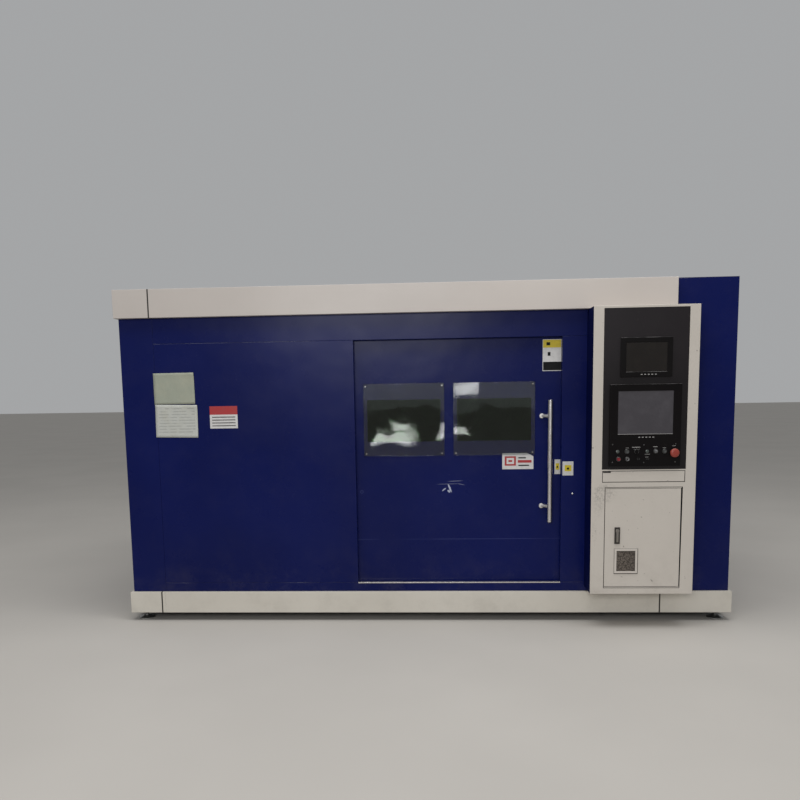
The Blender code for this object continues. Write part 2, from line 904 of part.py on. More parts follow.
# Control panel: a black plate behind the housing's face, with the small monitor let into it.
monitor_left = panel_middle - monitor_width / 2
monitor_right = panel_middle + monitor_width / 2
monitor_face = panel_face - monitor_proud


def control_panel():
    low = (panel_left - panel_lap, panel_face, panel_bottom - panel_lap)
    high = (panel_right + panel_lap, panel_face + panel_plate, panel_top + panel_lap)
    plate = piece("control_panel", boxes((low, high)), black_paint)
    inset = monitor_back_inset
    low = (monitor_left + inset, panel_face - overrun, monitor_bottom + inset)
    high = (monitor_right - inset, panel_face + panel_plate + overrun, monitor_top - inset)
    cut(plate, "monitor_opening", boxes((low, high)))
    low = (monitor_left, monitor_face, monitor_bottom)
    high = (monitor_right, panel_face - fit_gap, monitor_top)
    monitor = piece("upper_monitor", boxes((low, high)), black_paint)
    inset = monitor_back_inset + cabinet_play
    low = (monitor_left + inset, panel_face - monitor_proud / 2, monitor_bottom + inset)
    high = (monitor_right - inset, panel_face + panel_plate + monitor_back, monitor_top - inset)
    weld(monitor, "back", boxes((low, high)))
    middle = (monitor_top + monitor_bottom) / 2
    half_width, half_height = monitor_screen_width / 2, monitor_screen_height / 2
    x0, x1 = panel_middle - half_width, panel_middle + half_width
    z0, z1 = middle - half_height, middle + half_height
    floor = monitor_face + screen_recess
    cut(monitor, "screen_recess", boxes(((x0, monitor_face - overrun, z0), (x1, floor, z1))))
    low = (x0 + fit_gap, floor - fit_gap - screen_glass, z0 + fit_gap)
    piece("upper_screen", boxes((low, (x1 - fit_gap, floor - fit_gap, z1 - fit_gap))), dark_screen)


# Operating panel: a black tray in front of the plate with the main screen and the controls.
top_row = desk_bottom + top_row_height
low_row = desk_bottom + low_row_height


def desk_x(share):
    return desk_left + share * desk_width


def control_places():
    """Every control that sits in a collar: name, place across the panel, height."""
    places = {name: (desk_x(share), top_row) for name, share in {**push_shares, **turn_shares}.items()}
    places.update({name: (desk_x(share), low_row) for name, share in low_push_shares.items()})
    return places


def operating_panel():
    low, high = (desk_left, desk_face, desk_bottom), (desk_right, panel_face - fit_gap, desk_top)
    obj = pan("operating_panel", low, high, (0, 1, 0), black_paint)
    x0, x1 = panel_middle - main_screen_width / 2, panel_middle + main_screen_width / 2
    z1 = desk_top - main_screen_drop
    z0 = z1 - main_screen_height
    window = (x0, desk_face - overrun, z0), (x1, desk_face + sheet + overrun, z1)
    cut(obj, "screen_opening", boxes(window))
    lap = main_screen_lap
    low = (x0 - lap, desk_face + sheet + fit_gap, z0 - lap)
    piece("main_screen", boxes((low, (x1 + lap, panel_face - fit_gap, z1 + lap))), dark_screen)
    collars, holes, lamps = bmesh.new(), bmesh.new(), bmesh.new()
    root, inner = desk_face + sheet / 2, desk_face + sheet + overrun / 2
    for x, z in control_places().values():
        add_cylinder(collars, (x, root, z), (x, desk_face - collar_height, z), collar_radius, small_sides)
        start, end = (x, inner, z), (x, desk_face - collar_height - overrun, z)
        add_cylinder(holes, start, end, cap_radius + fit_gap, small_sides)
    x, z = desk_x(estop_share), desk_bottom + stop_height
    start, end = (x, root, z), (x, desk_face - collar_height, z)
    add_cylinder(collars, start, end, estop_collar_radius, round_sides)
    start, end = (x, inner, z), (x, desk_face - collar_height - overrun, z)
    add_cylinder(holes, start, end, estop_stem_radius + fit_gap, round_sides)
    for share in lamp_shares:
        x = desk_x(share)
        start, end = (x, root, top_row), (x, desk_face - cap_height / 2, top_row)
        add_cylinder(lamps, start, end, cap_radius, small_sides, cap_radius - cap_edge)
    for share in port_shares:
        x = desk_x(share)
        low = (x - port_width / 2, desk_face - cap_edge, low_row - port_height / 2)
        add_box(lamps, low, (x + port_width / 2, root, low_row + port_height / 2))
    weld(obj, "collars", collars)
    cut(obj, "control_holes", holes)
    weld(obj, "lamps", lamps)


def controls():
    places = control_places()
    colours = {"upper_button": grey_plastic, "reset_button": grey_plastic}
    colours.update({"red_button": red_plastic, "ring_button": stainless})
    profile = [
        (0, cap_height),
        (cap_radius - cap_edge, cap_height),
        (cap_radius, cap_height - cap_edge),
        (cap_radius, -cap_depth),
        (0, -cap_depth),
    ]
    for name, finish in colours.items():
        x, z = places[name]
        turned(name, profile, (x, desk_face, z), (0, -1, 0), finish, small_sides)
    for name, half_length, half_width, height in (
        ("mode_selector", knob_length / 2, knob_width / 2, knob_height),
        ("key_switch", key_bow_width / 2, key_bow_thickness / 2, key_bow_height),
    ):
        x, z = places[name]
        start, end = (x, desk_face + cap_depth, z), (x, desk_face - cap_height, z)
        disc = cylinders((start, end, cap_radius), sides=small_sides)
        obj = piece(name, disc, black_paint if name == "mode_selector" else stainless, (x, desk_face, z))
        low = (x - half_width, desk_face - height, z - half_length)
        high = (x + half_width, desk_face - cap_height + cap_edge, z + half_length)
        weld(obj, "grip", boxes((low, high)))
    rim_top = (estop_underside + estop_height) / 2
    dome = []
    for k in range(1, 5):
        angle = k * math.pi / 8
        radius = estop_crown_radius + (estop_radius - estop_crown_radius) * math.sin(angle)
        dome.append((radius, rim_top + (estop_height - rim_top) * math.cos(angle)))
    profile = [
        (0, estop_height),
        (estop_crown_radius, estop_height),
        *dome,
        (estop_radius, estop_underside),
        (estop_stem_radius, estop_underside),
        (estop_stem_radius, -cap_depth),
        (0, -cap_depth),
    ]
    place = (desk_x(estop_share), desk_face, desk_bottom + stop_height)
    turned("emergency_stop", profile, place, (0, -1, 0), red_plastic)


# Keyboard drawer: a shallow tray on the shelf, with the keyboard lying in it.
def keyboard_drawer():
    low = (drawer_left, console_front, drawer_bottom + drawer_play)
    high = (drawer_right, console_front + drawer_depth, drawer_top - drawer_play)
    pan("keyboard_drawer", low, high, (0, 0, 1), white_paint)
    x0, x1 = panel_middle - keyboard_width / 2, panel_middle + keyboard_width / 2
    y0 = console_front + sheet + keyboard_rim
    z0 = drawer_bottom + drawer_play + sheet + fit_gap
    body = boxes(((x0, y0, z0), (x1, y0 + keyboard_depth, z0 + keyboard_height)))
    obj = piece("keyboard", body, motor_black)
    row_depth = (keyboard_depth - 2 * keyboard_rim - (key_rows - 1) * key_row_gap) / key_rows
    rows = bmesh.new()
    for k in range(key_rows):
        y = y0 + keyboard_rim + k * (row_depth + key_row_gap)
        low = (x0 + keyboard_rim, y, z0 + keyboard_height - key_row_gap)
        add_box(rows, low, (x1 - keyboard_rim, y + row_depth, z0 + keyboard_height + key_row_height))
    weld(obj, "key_rows", rows)


# Cabinet door: a tray on two pivot pins, with a louvred vent and a flat latch.
cabinet_door_left = cabinet_left + cabinet_play
cabinet_door_bottom = cabinet_bottom + cabinet_play
cabinet_door_top = cabinet_top - cabinet_play
vent_left = cabinet_left + vent_side
vent_bottom = cabinet_bottom + vent_foot
latch_left = cabinet_left + latch_side
latch_bottom = cabinet_bottom + latch_foot
lever_x = latch_left + latch_width / 2
lever_z = latch_bottom + latch_height - lever_drop
lever_place = (lever_x, console_front - latch_thickness, lever_z)


def cabinet_door():
    low = (cabinet_door_left, console_front, cabinet_door_bottom)
    high = (cabinet_door_right, console_front + cabinet_door_depth, cabinet_door_top)
    pivot = (hinge_x, hinge_y, cabinet_door_bottom)
    obj = pan("cabinet_door", low, high, (0, 1, 0), white_paint, pivot=pivot)
    inset = vent_rim - vent_lap
    low = (vent_left + inset, console_front - overrun, vent_bottom + inset)
    vent_right, vent_top = vent_left + vent_width, vent_bottom + vent_height
    high = (vent_right - inset, console_front + sheet + overrun, vent_top - inset)
    cut(obj, "vent_opening", boxes((low, high)))
    pins = cylinders(
        (
            (hinge_x, hinge_y, cabinet_door_bottom + sheet / 2),
            (hinge_x, hinge_y, cabinet_door_bottom - hinge_pin_length),
            hinge_pin_radius,
        ),
        (
            (hinge_x, hinge_y, cabinet_door_top - sheet / 2),
            (hinge_x, hinge_y, cabinet_door_top + hinge_pin_length),
            hinge_pin_radius,
        ),
        sides=small_sides,
    )
    weld(obj, "pins", pins)


def vent_grille():
    x0, x1 = vent_left + vent_rim, vent_left + vent_width - vent_rim
    z0, z1 = vent_bottom + vent_rim, vent_bottom + vent_height - vent_rim
    face = console_front - vent_proud
    back = console_front - fit_gap
    low, high = (vent_left, face, vent_bottom), (vent_left + vent_width, back, vent_bottom + vent_height)
    obj = piece("vent_grille", boxes((low, high)), white_paint)
    cut(obj, "opening", boxes(((x0, face - overrun, z0), (x1, back + overrun, z1))))
    slats = bmesh.new()
    pitch = (z1 - z0) / vent_slats
    start, end = x0 - vent_slat_thickness / 2, x1 + vent_slat_thickness / 2
    slat_front = (face + back) / 2
    slat_back = slat_front + vent_slat_depth
    for k in range(vent_slats):
        z = z0 + pitch * (k + 1 / 4)
        rise = pitch / 2
        outline = [
            (slat_front, z),
            (slat_back, z + rise),
            (slat_back, z + rise + vent_slat_thickness),
            (slat_front, z + vent_slat_thickness),
        ]
        extrusion(slats, outline, start, end)
    weld(obj, "slats", slats)


def latch():
    low = (latch_left, console_front - latch_thickness, latch_bottom)
    high = (latch_left + latch_width, console_front - fit_gap, latch_bottom + latch_height)
    body = piece("latch_body", boxes((low, high)), stainless)
    hole = (lever_x, console_front + overrun, lever_z), (lever_x, low[1] - overrun, lever_z)
    cut(body, "stem_hole", cylinders((*hole, lever_radius / 2 + fit_gap), sides=small_sides))
    face = low[1] - fit_gap
    tip = face - lever_thickness
    start, end = (lever_x, face, lever_z), (lever_x, tip, lever_z)
    lever = piece("latch_lever", cylinders((start, end, lever_radius)), motor_black, lever_place)
    low = (lever_x - lever_tip_radius, tip, lever_z - lever_length)
    weld(lever, "arm", boxes((low, (lever_x + lever_tip_radius, face, lever_z))))
    start, end = (lever_x, console_front - 2 * fit_gap, lever_z), (lever_x, (face + tip) / 2, lever_z)
    stem = cylinders((start, end, lever_radius / 2), sides=small_sides)
    weld(lever, "stem", stem)


# Machine bed: a welded tub with a stepped slag bay and inspection ports through its side beams.
def machine_bed():
    low, high = (bed_left, bed_front, bed_bottom), (bed_right, bed_rear, bed_top)
    obj = piece("machine_bed", boxes((low, high)), grey_iron)
    inner = bed_beam + bed_ledge
    for label, inset, floor in (
        ("table_seat", bed_beam, table_floor),
        ("slag_bay", inner, bed_bottom + bed_floor),
    ):
        low = (bed_left + inset, bed_front + inset, floor)
        high = (bed_right - inset, bed_rear - inset, bed_top + overrun)
        cut(obj, label, boxes((low, high)))
    ports = bmesh.new()
    length = bed_right - bed_left - 2 * inner
    count = max(round(length / port_pitch), 1)
    first = (bed_left + bed_right - (count - 1) * port_pitch) / 2
    middle = (bed_bottom + bed_floor + table_floor) / 2
    for k in range(count):
        x = first + k * port_pitch
        low = (x - window_port_width / 2, bed_front - overrun, middle - window_port_height / 2)
        high = (x + window_port_width / 2, bed_rear + overrun, middle + window_port_height / 2)
        add_box(ports, low, high)
    cut(obj, "ports", ports)


# Slat table: a frame with upright slats, each with a saw-toothed edge that carries the sheet.
def slat_table():
    x0, x1 = bed_left + bed_beam + table_play, bed_right - bed_beam - table_play
    y0, y1 = bed_front + bed_beam + table_play, bed_rear - bed_beam - table_play
    z0 = table_floor + fit_gap
    obj = piece("slat_table", boxes(((x0, y0, z0), (x1, y1, z0 + table_beam_height))), steel_plate)
    low = (x0 + table_beam, y0 + table_beam, z0 - overrun)
    high = (x1 - table_beam, y1 - table_beam, z0 + table_beam_height + overrun)
    cut(obj, "middle", boxes((low, high)))
    near, far = y0 + slat_seat, y1 - slat_seat
    teeth = max(round((far - near) / tooth_pitch), 1)
    pitch = (far - near) / teeth
    foot = z0 + slat_seat
    tip = foot + slat_height
    outline = [(near, foot), (far, foot), (far, tip - tooth_depth)]
    for k in range(teeth):
        outline.append((far - (k + 1 / 2) * pitch, tip))
        outline.append((far - (k + 1) * pitch, tip - tooth_depth))
    clear = x1 - x0 - 2 * table_beam
    count = max(int(clear / slat_pitch), 1)
    slats = bmesh.new()
    for k in range(count):
        x = x0 + table_beam + (k + 1 / 2) * clear / count
        extrusion(slats, outline, x - slat_thickness / 2, x + slat_thickness / 2)
    weld(obj, "slats", slats)


# Rails: two waisted guide rails on the bed's side beams.
def rails():
    half, waist = rail_width / 2, rail_width / 2 - rail_waist
    foot, waist_start, waist_end, head = rail_height_shares
    side = [(half, 0), (half, foot), (waist, waist_start), (waist, waist_end), (half, head), (half, 1)]
    z = bed_top + fit_gap
    for name, y in (("x_rail_front", front_rail_y), ("x_rail_rear", rear_rail_y)):
        outline = [(y + reach, z + share * rail_height) for reach, share in side]
        outline += [(y - reach, z + share * rail_height) for reach, share in side[::-1]]
        bm = bmesh.new()
        extrusion(bm, outline, bed_left + rail_end_margin, bed_right - rail_end_margin)
        piece(name, bm, stainless)


# Gantry: a cast beam with pockets behind, on two saddles that each carry a drive motor.
def gantry():
    near, far = front_rail_y - saddle_width / 2, rear_rail_y + saddle_width / 2
    low = (gantry_x - beam_width / 2, near, saddle_top - overrun)
    beam = boxes((low, (beam_side, far, beam_top)))
    obj = piece("gantry_beam", beam, alloy, (gantry_x, front_rail_y, rail_top))
    saddles, grooves, motors, flanges = bmesh.new(), bmesh.new(), bmesh.new(), bmesh.new()
    motor_x = gantry_x - saddle_length / 2 + motor_flange
    for y in (front_rail_y, rear_rail_y):
        low = (gantry_x - saddle_length / 2, y - saddle_width / 2, saddle_bottom)
        add_box(saddles, low, (gantry_x + saddle_length / 2, y + saddle_width / 2, saddle_top))
        clear = rail_width / 2 + track_wall
        low = (gantry_x - saddle_length, y - clear, saddle_bottom - overrun)
        add_box(grooves, low, (gantry_x + saddle_length, y + clear, rail_top + fit_gap))
        start = (motor_x, y, saddle_top - overrun)
        add_cylinder(motors, start, (motor_x, y, saddle_top + motor_height), motor_radius, small_sides)
        low = (motor_x - motor_flange, y - motor_flange, saddle_top - overrun)
        add_box(flanges, low, (motor_x + motor_flange, y + motor_flange, saddle_top + motor_flange_thickness))
    weld(obj, "saddles", saddles)
    cut(obj, "grooves", grooves)
    pockets = bmesh.new()
    start, end = near + saddle_width, far - saddle_width
    bay = (end - start) / beam_pockets
    for k in range(beam_pockets):
        y = start + k * bay
        low = (gantry_x - beam_width / 2 - overrun, y + pocket_rim / 2, saddle_top + pocket_rim)
        high = (gantry_x - beam_width / 2 + pocket_depth, y + bay - pocket_rim / 2, beam_top - pocket_rim)
        add_box(pockets, low, high)
    cut(obj, "pockets", pockets)
    weld(obj, "motors", motors)
    weld(obj, "motor_flanges", flanges)
    guides = bmesh.new()
    for z in (saddle_top + beam_rail_inset, beam_top - beam_rail_inset):
        low = (beam_side - sheet, near, z - beam_rail_width / 2)
        add_box(guides, low, (beam_side + beam_rail_height, far, z + beam_rail_width / 2))
    weld(obj, "beam_rails", guides)


# Carriage: a plate that hooks over the beam, with the lifting motor on its shelf and the head below.
carriage_y = front_rail_y + carriage_park
carriage_back = beam_side + beam_rail_height + fit_gap
carriage_face = carriage_back + carriage_thickness
carriage_top = beam_top + carriage_overhang
shelf_bottom = carriage_top - motor_flange_thickness
head_x = carriage_face + fit_gap + head_depth / 2
head_top = shelf_bottom - head_drop
head_bottom = head_top - head_height
nose_bottom = head_bottom - head_nose_height


def carriage():
    near, far = carriage_y - carriage_width / 2, carriage_y + carriage_width / 2
    low, high = (carriage_back, near, saddle_top - carriage_drop), (carriage_face, far, carriage_top)
    place = (carriage_face, carriage_y, beam_top)
    obj = piece("y_carriage", boxes((low, high)), alloy, place)
    hook = (gantry_x - carriage_hook, near, beam_top + fit_gap), (carriage_face - overrun, far, carriage_top)
    shelf_front = carriage_face + fit_gap + head_depth
    shelf = (carriage_face - overrun, near, shelf_bottom), (shelf_front, far, carriage_top)
    weld(obj, "hook", boxes(hook))
    weld(obj, "shelf", boxes(shelf))
    half = z_motor_side / 2
    low = (head_x - half, carriage_y - half, carriage_top + fit_gap)
    high = (head_x + half, carriage_y + half, carriage_top + fit_gap + z_motor_height)
    motor = piece("z_motor", boxes((low, high)), motor_black)
    bevel = motor.modifiers.new("corners", "BEVEL")
    bevel.width = head_bevel
    bevel.segments = 2
    bevel.limit_method = "ANGLE"


def cutting_head():
    low = (head_x - head_depth / 2, carriage_y - head_width / 2, head_bottom)
    high = (head_x + head_depth / 2, carriage_y + head_width / 2, head_top)
    obj = piece("cutting_head", boxes((low, high)), black_paint, (head_x, carriage_y, head_top))
    bevel = obj.modifiers.new("corners", "BEVEL")
    bevel.width = head_bevel
    bevel.segments = 2
    bevel.limit_method = "ANGLE"
    nose = bmesh.new()
    start, end = (head_x, carriage_y, head_bottom + overrun), (head_x, carriage_y, nose_bottom)
    add_cylinder(nose, start, end, head_depth / 2 - head_bevel, round_sides, head_nose_radius)
    weld(obj, "nose", nose)
    tip = -fit_gap - nozzle_length
    profile = [
        (0, -fit_gap),
        (nozzle_radius, -fit_gap),
        (nozzle_radius, -fit_gap - nozzle_collar),
        (nozzle_tip_radius, tip),
        (0, tip),
    ]
    turned("nozzle", profile, (head_x, carriage_y, nose_bottom), (0, 0, 1), copper)


feet()
base_frame()
plinth()
fascia()
skin()
roof()
partition()
laser_source()
door_rails()
door()
door_handle()
console_housing()
control_panel()
operating_panel()
controls()
keyboard_drawer()
cabinet_door()
vent_grille()
latch()
machine_bed()
slat_table()
rails()
gantry()
carriage()
cutting_head()
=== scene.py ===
"""The finish of a fiber laser cutting machine: its paints, glass, metals, fasteners and small trim,
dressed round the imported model. Metres, +Z up, the machine's front at -Y."""

import json
import math

import bmesh
import bpy
from mathutils import Matrix, Vector

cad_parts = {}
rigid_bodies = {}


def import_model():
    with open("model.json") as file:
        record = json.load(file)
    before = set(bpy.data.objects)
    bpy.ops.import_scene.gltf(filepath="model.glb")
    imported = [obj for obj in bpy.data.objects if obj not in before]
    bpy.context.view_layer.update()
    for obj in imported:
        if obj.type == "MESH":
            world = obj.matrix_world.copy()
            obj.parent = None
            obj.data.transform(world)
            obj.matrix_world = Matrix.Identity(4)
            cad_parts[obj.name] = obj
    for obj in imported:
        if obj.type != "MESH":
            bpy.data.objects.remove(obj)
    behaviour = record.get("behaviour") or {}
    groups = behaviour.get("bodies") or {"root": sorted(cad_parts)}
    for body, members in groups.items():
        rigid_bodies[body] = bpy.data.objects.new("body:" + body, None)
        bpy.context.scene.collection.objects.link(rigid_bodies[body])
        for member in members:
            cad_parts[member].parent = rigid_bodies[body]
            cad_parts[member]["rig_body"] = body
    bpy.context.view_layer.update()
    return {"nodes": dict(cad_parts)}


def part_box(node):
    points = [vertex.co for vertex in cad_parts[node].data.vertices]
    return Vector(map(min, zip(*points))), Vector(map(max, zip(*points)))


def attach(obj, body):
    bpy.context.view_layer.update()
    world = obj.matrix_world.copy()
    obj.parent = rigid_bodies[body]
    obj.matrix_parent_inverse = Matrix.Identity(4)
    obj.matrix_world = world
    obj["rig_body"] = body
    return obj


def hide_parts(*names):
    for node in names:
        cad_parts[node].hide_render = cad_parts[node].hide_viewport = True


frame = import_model()
scene = bpy.context.scene
scene.view_settings.view_transform = "Standard"


# Camera: a phone held at head height, a little right of the machine's middle, turned slightly to the
# left and tipped down. The frame is 800 x 800, and its middle lies above the optical axis.
frame_width = 800
focal_pixels = 750
axis_offset = (-5, 80)
camera_place = Vector((0.080, -6.091, 1.588))
camera_yaw, camera_pitch, camera_roll = (math.radians(a) for a in (-3.10, 6.85, -0.93))

ahead = Vector((math.sin(camera_yaw), math.cos(camera_yaw), 0)) * math.cos(camera_pitch)
ahead.z = -math.sin(camera_pitch)
level = ahead.cross(Vector((0, 0, 1))).normalized()
upright = level.cross(ahead)
across = level * math.cos(camera_roll) + upright * math.sin(camera_roll)
above = across.cross(ahead)
lens = bpy.data.cameras.new("camera")
lens.sensor_width = 36
lens.lens = lens.sensor_width * focal_pixels / frame_width
lens.shift_x = -axis_offset[0] / frame_width
lens.shift_y = axis_offset[1] / frame_width
camera = bpy.data.objects.new("camera", lens)
camera_turn = Matrix((across, above, -ahead)).transposed().to_4x4()
camera.matrix_world = Matrix.Translation(camera_place) @ camera_turn
scene.collection.objects.link(camera)
scene.camera = camera


# Studio: a pale floor that runs to the horizon under an even pale sky, one wide soft light overhead
# and one in front. Five small dim ones stand behind the camera for the panes to reflect.
floor_reach = 60
worn_share = 0.95
floor_colour = (0.47, 0.445, 0.41, 1)
sky_colour = (0.60, 0.61, 0.62, 1)
sky_strength = 0.62
lamps = (
    ("overhead_light", (0.3, -2.0, 6.5), (0, 0, 1.0), (7.0, 3.6), 330),
    ("front_light", (-0.9, -8.0, 3.1), (-0.3, -1, 1.6), (2.8, 1.5), 140),
    ("left_window_light", (-0.65, -9.0, 0.75), (-0.65, 0, 0.75), (0.66, 0.12), 1.5),
    ("upper_window_light", (-0.50, -9.0, 0.90), (-0.50, 0, 0.90), (0.36, 0.13), 0.9),
    ("middle_window_light", (0.18, -9.0, 0.86), (0.18, 0, 0.86), (0.11, 0.24), 0.4),
    ("right_window_light", (0.52, -9.0, 0.84), (0.52, 0, 0.84), (0.21, 0.20), 0.7),
    ("high_window_light", (0.62, -9.0, 1.62), (0.62, 0, 1.62), (0.38, 0.17), 0.9),
)


class Signal:
    """A node's output. Arithmetic on it adds math nodes to its tree."""

    def __init__(self, socket):
        self.socket, self.tree = socket, socket.id_data

    def __add__(self, other):
        return worked("ADD", self, other)

    def __radd__(self, other):
        return worked("ADD", other, self)

    def __sub__(self, other):
        return worked("SUBTRACT", self, other)

    def __rsub__(self, other):
        return worked("SUBTRACT", other, self)

    def __mul__(self, other):
        return worked("MULTIPLY", self, other)

    def __truediv__(self, other):
        return worked("DIVIDE", self, other)


def feed(node, inputs):
    """Links signals to a node's inputs, and sets the inputs that are given as values."""
    for name, value in inputs.items():
        if isinstance(value, Signal):
            node.id_data.links.new(value.socket, node.inputs[name])
        else:
            node.inputs[name].default_value = value


def added(tree, kind, inputs=None, **settings):
    node = tree.nodes.new(kind)
    for name, value in settings.items():
        setattr(node, name, value)
    feed(node, inputs or {})
    return node


def signal(tree, kind, inputs=None, output=0, **settings):
    """A new node's output."""
    return Signal(added(tree, kind, inputs, **settings).outputs[output])


def outputs_of(node):
    return {socket.name: Signal(socket) for socket in node.outputs}


def tree_of(*parts):
    return next(part.tree for part in parts if isinstance(part, Signal))


def worked(kind, *parts):
    return signal(tree_of(*parts), "ShaderNodeMath", dict(enumerate(parts)), operation=kind)


def new_material(name):
    material = bpy.data.materials.new(name)
    material.use_nodes = True
    return material, material.node_tree, material.node_tree.nodes["Principled BSDF"]


def object_place(tree):
    return signal(tree, "ShaderNodeTexCoord", None, "Object")


def parts_of(place):
    return outputs_of(added(place.tree, "ShaderNodeSeparateXYZ", {0: place}))


def noise(place, scale, detail=3.0, roughness=0.5):
    values = {"Vector": place, "Scale": scale, "Detail": detail, "Roughness": roughness}
    return signal(place.tree, "ShaderNodeTexNoise", values, "Fac")


def ramp(value, low, high):
    """0 below low, 1 above high, smooth between them."""
    values = {"Value": value, "From Min": low, "From Max": high}
    return signal(value.tree, "ShaderNodeMapRange", values, "Result", interpolation_type="SMOOTHSTEP")


def blended(share, first, second, way="MIX"):
    node = added(tree_of(share, first, second), "ShaderNodeMix", data_type="RGBA", blend_type=way)
    places = [i for i, socket in enumerate(node.inputs) if socket.enabled]
    feed(node, dict(zip(places, (share, first, second))))
    return Signal(next(socket for socket in node.outputs if socket.enabled))


def bumped(height, strength, distance, **more):
    values = {"Height": height, "Strength": strength, "Distance": distance, **more}
    return signal(height.tree, "ShaderNodeBump", values, "Normal")


def studio():
    mesh = bpy.data.meshes.new("studio_floor")
    corners = [(x * floor_reach, y * floor_reach, 0) for x, y in ((-1, -1), (1, -1), (1, 1), (-1, 1))]
    mesh.from_pydata(corners, [], [(0, 1, 2, 3)])
    material, tree, shader = new_material("studio_floor")
    patches = ramp(noise(object_place(tree), 0.8), 0.3, 0.7)
    darker = tuple(worn_share * part for part in floor_colour[:3]) + (1,)
    feed(shader, {"Base Color": blended(patches, darker, floor_colour), "Roughness": 0.75})
    mesh.materials.append(material)
    ground = bpy.data.objects.new("studio_floor", mesh)
    scene.collection.objects.link(ground)
    world = bpy.data.worlds.new("studio_sky")
    world.use_nodes = True
    sky = world.node_tree.nodes["Background"]
    sky.inputs["Color"].default_value = sky_colour
    sky.inputs["Strength"].default_value = sky_strength
    scene.world = world
    for name, place, aim, size, power in lamps:
        lamp = bpy.data.lights.new(name, "AREA")
        lamp.shape = "RECTANGLE"
        lamp.size, lamp.size_y = size
        lamp.energy = power
        holder = bpy.data.objects.new(name, lamp)
        holder.location = place
        holder.rotation_euler = (Vector(aim) - Vector(place)).to_track_quat("-Z", "Y").to_euler()
        holder.visible_camera = False
        scene.collection.objects.link(holder)


studio()


# Base frame: rectangular steel tube, mitred and welded, under matt grey enamel that has gathered
# workshop dust. The machine stands on it, and the plinth sheets hide most of it.
def effect_group(name, inputs, outputs=("Color", "Roughness", "Normal")):
    """An empty shader effect. The kind of an input follows from its value."""
    group = bpy.data.node_groups.new(name, "ShaderNodeTree")
    for socket, value in inputs.items():
        kind = ("Vector", "Color")[len(value) - 3] if isinstance(value, tuple) else "Float"
        made = group.interface.new_socket(socket, in_out="INPUT", socket_type="NodeSocket" + kind)
        made.default_value = value
    for socket in outputs:
        kind = {"Color": "Color", "Normal": "Vector"}.get(socket, "Float")
        group.interface.new_socket(socket, in_out="OUTPUT", socket_type="NodeSocket" + kind)
    return group, outputs_of(group.nodes.new("NodeGroupInput")), group.nodes.new("NodeGroupOutput")


def effect(tree, group, inputs):
    """What a shared effect gives in this tree, by name."""
    return outputs_of(added(tree, "ShaderNodeGroup", inputs, node_tree=group))


def dust_effect():
    """Dust that settles on faces that look up, thinned out by noise."""
    dust_colour = (0.30, 0.27, 0.23, 1)
    inputs = {"Colour": dust_colour, "Dust": dust_colour, "Amount": 0.5}
    group, given, results = effect_group("shop_dust", inputs, ("Color", "Mask"))
    normal = signal(group, "ShaderNodeNewGeometry", None, "Normal")
    upward = ramp(parts_of(normal)["Z"], 0.55, 0.95)
    grains = ramp(noise(object_place(group), 4.0, 8.0, 0.7), 0.10, 0.75)
    mask = upward * (grains * 0.35 + 0.55) * given["Amount"]
    feed(results, {"Mask": mask, "Color": blended(mask, given["Colour"], given["Dust"])})
    return group


def paint_effect():
    """Sprayed paint: slow drifts of tone, a little orange peel, sheet that isn't quite flat, and
    grime that thickens towards the floor."""
    inputs = {"Colour": (0.2, 0.2, 0.2, 1), "Grime": (0.16, 0.14, 0.11, 1), "Grime Amount": 0.25}
    inputs.update({"Tone Drift": 0.10, "Roughness": 0.35, "Peel": 0.10, "Waviness": 0.10})
    group, given, results = effect_group("sprayed_paint", inputs)
    place = object_place(group)
    drift = ramp(noise(place, 0.9, 3.0), 0.25, 0.75)
    lighter = blended(given["Tone Drift"], given["Colour"], (1, 1, 1, 1), "SOFT_LIGHT")
    darker = blended(given["Tone Drift"], given["Colour"], (0, 0, 0, 1), "SOFT_LIGHT")
    near_floor = 1.0 - ramp(parts_of(place)["Z"], 0.05, 0.55)
    blotches = ramp(noise(place, 5.0, 7.0, 0.7), 0.42, 0.75)
    specks = ramp(noise(place, 60.0, 2.0, 0.6), 0.66, 0.74) * 0.5
    soiled = worked("MAXIMUM", (near_floor + 0.18) * blotches, specks) * given["Grime Amount"]
    variation = noise(place, 2.3, 5.0, 0.6) - 0.5
    swelled = bumped(noise(place, 2.6, 2.0), given["Waviness"], 0.03)
    colour = blended(soiled, blended(drift, darker, lighter), given["Grime"])
    feed(results, {"Color": colour, "Roughness": given["Roughness"] + variation * 0.20 + soiled * 0.3})
    feed(results, {"Normal": bumped(noise(place, 420.0, 2.0), given["Peel"], 0.0006, Normal=swelled)})
    return group


shop_dust = dust_effect()
sprayed_paint = paint_effect()


def painted(name, colour, roughness, dust=0.4, level=0.4, marks=None, **paint):
    """A painted finish with dust on the faces that look up. The marks are a function that changes
    the colour further."""
    material, tree, shader = new_material(name)
    values = {socket.replace("_", " "): value for socket, value in paint.items()}
    coat = effect(tree, sprayed_paint, {"Colour": (*colour, 1), "Roughness": roughness, **values})
    shade = marks(coat["Color"]) if marks else coat["Color"]
    dusted = effect(tree, shop_dust, {"Colour": shade, "Amount": dust})["Color"]
    feed(shader, {"Base Color": dusted, "Roughness": coat["Roughness"], "Normal": coat["Normal"]})
    feed(shader, {"Specular IOR Level": level})
    return material


def made_object(name, mesh, material):
    mesh.materials.clear()
    mesh.materials.append(material)
    obj = bpy.data.objects.new(name, mesh)
    scene.collection.objects.link(obj)
    return obj


def plain(obj):
    """Works the object's modifiers into its mesh."""
    bpy.context.view_layer.update()
    graph = bpy.context.evaluated_depsgraph_get()
    mesh = bpy.data.meshes.new_from_object(obj.evaluated_get(graph))
    mesh.name = obj.name
    obj.modifiers.clear()
    obj.data = mesh
    return obj


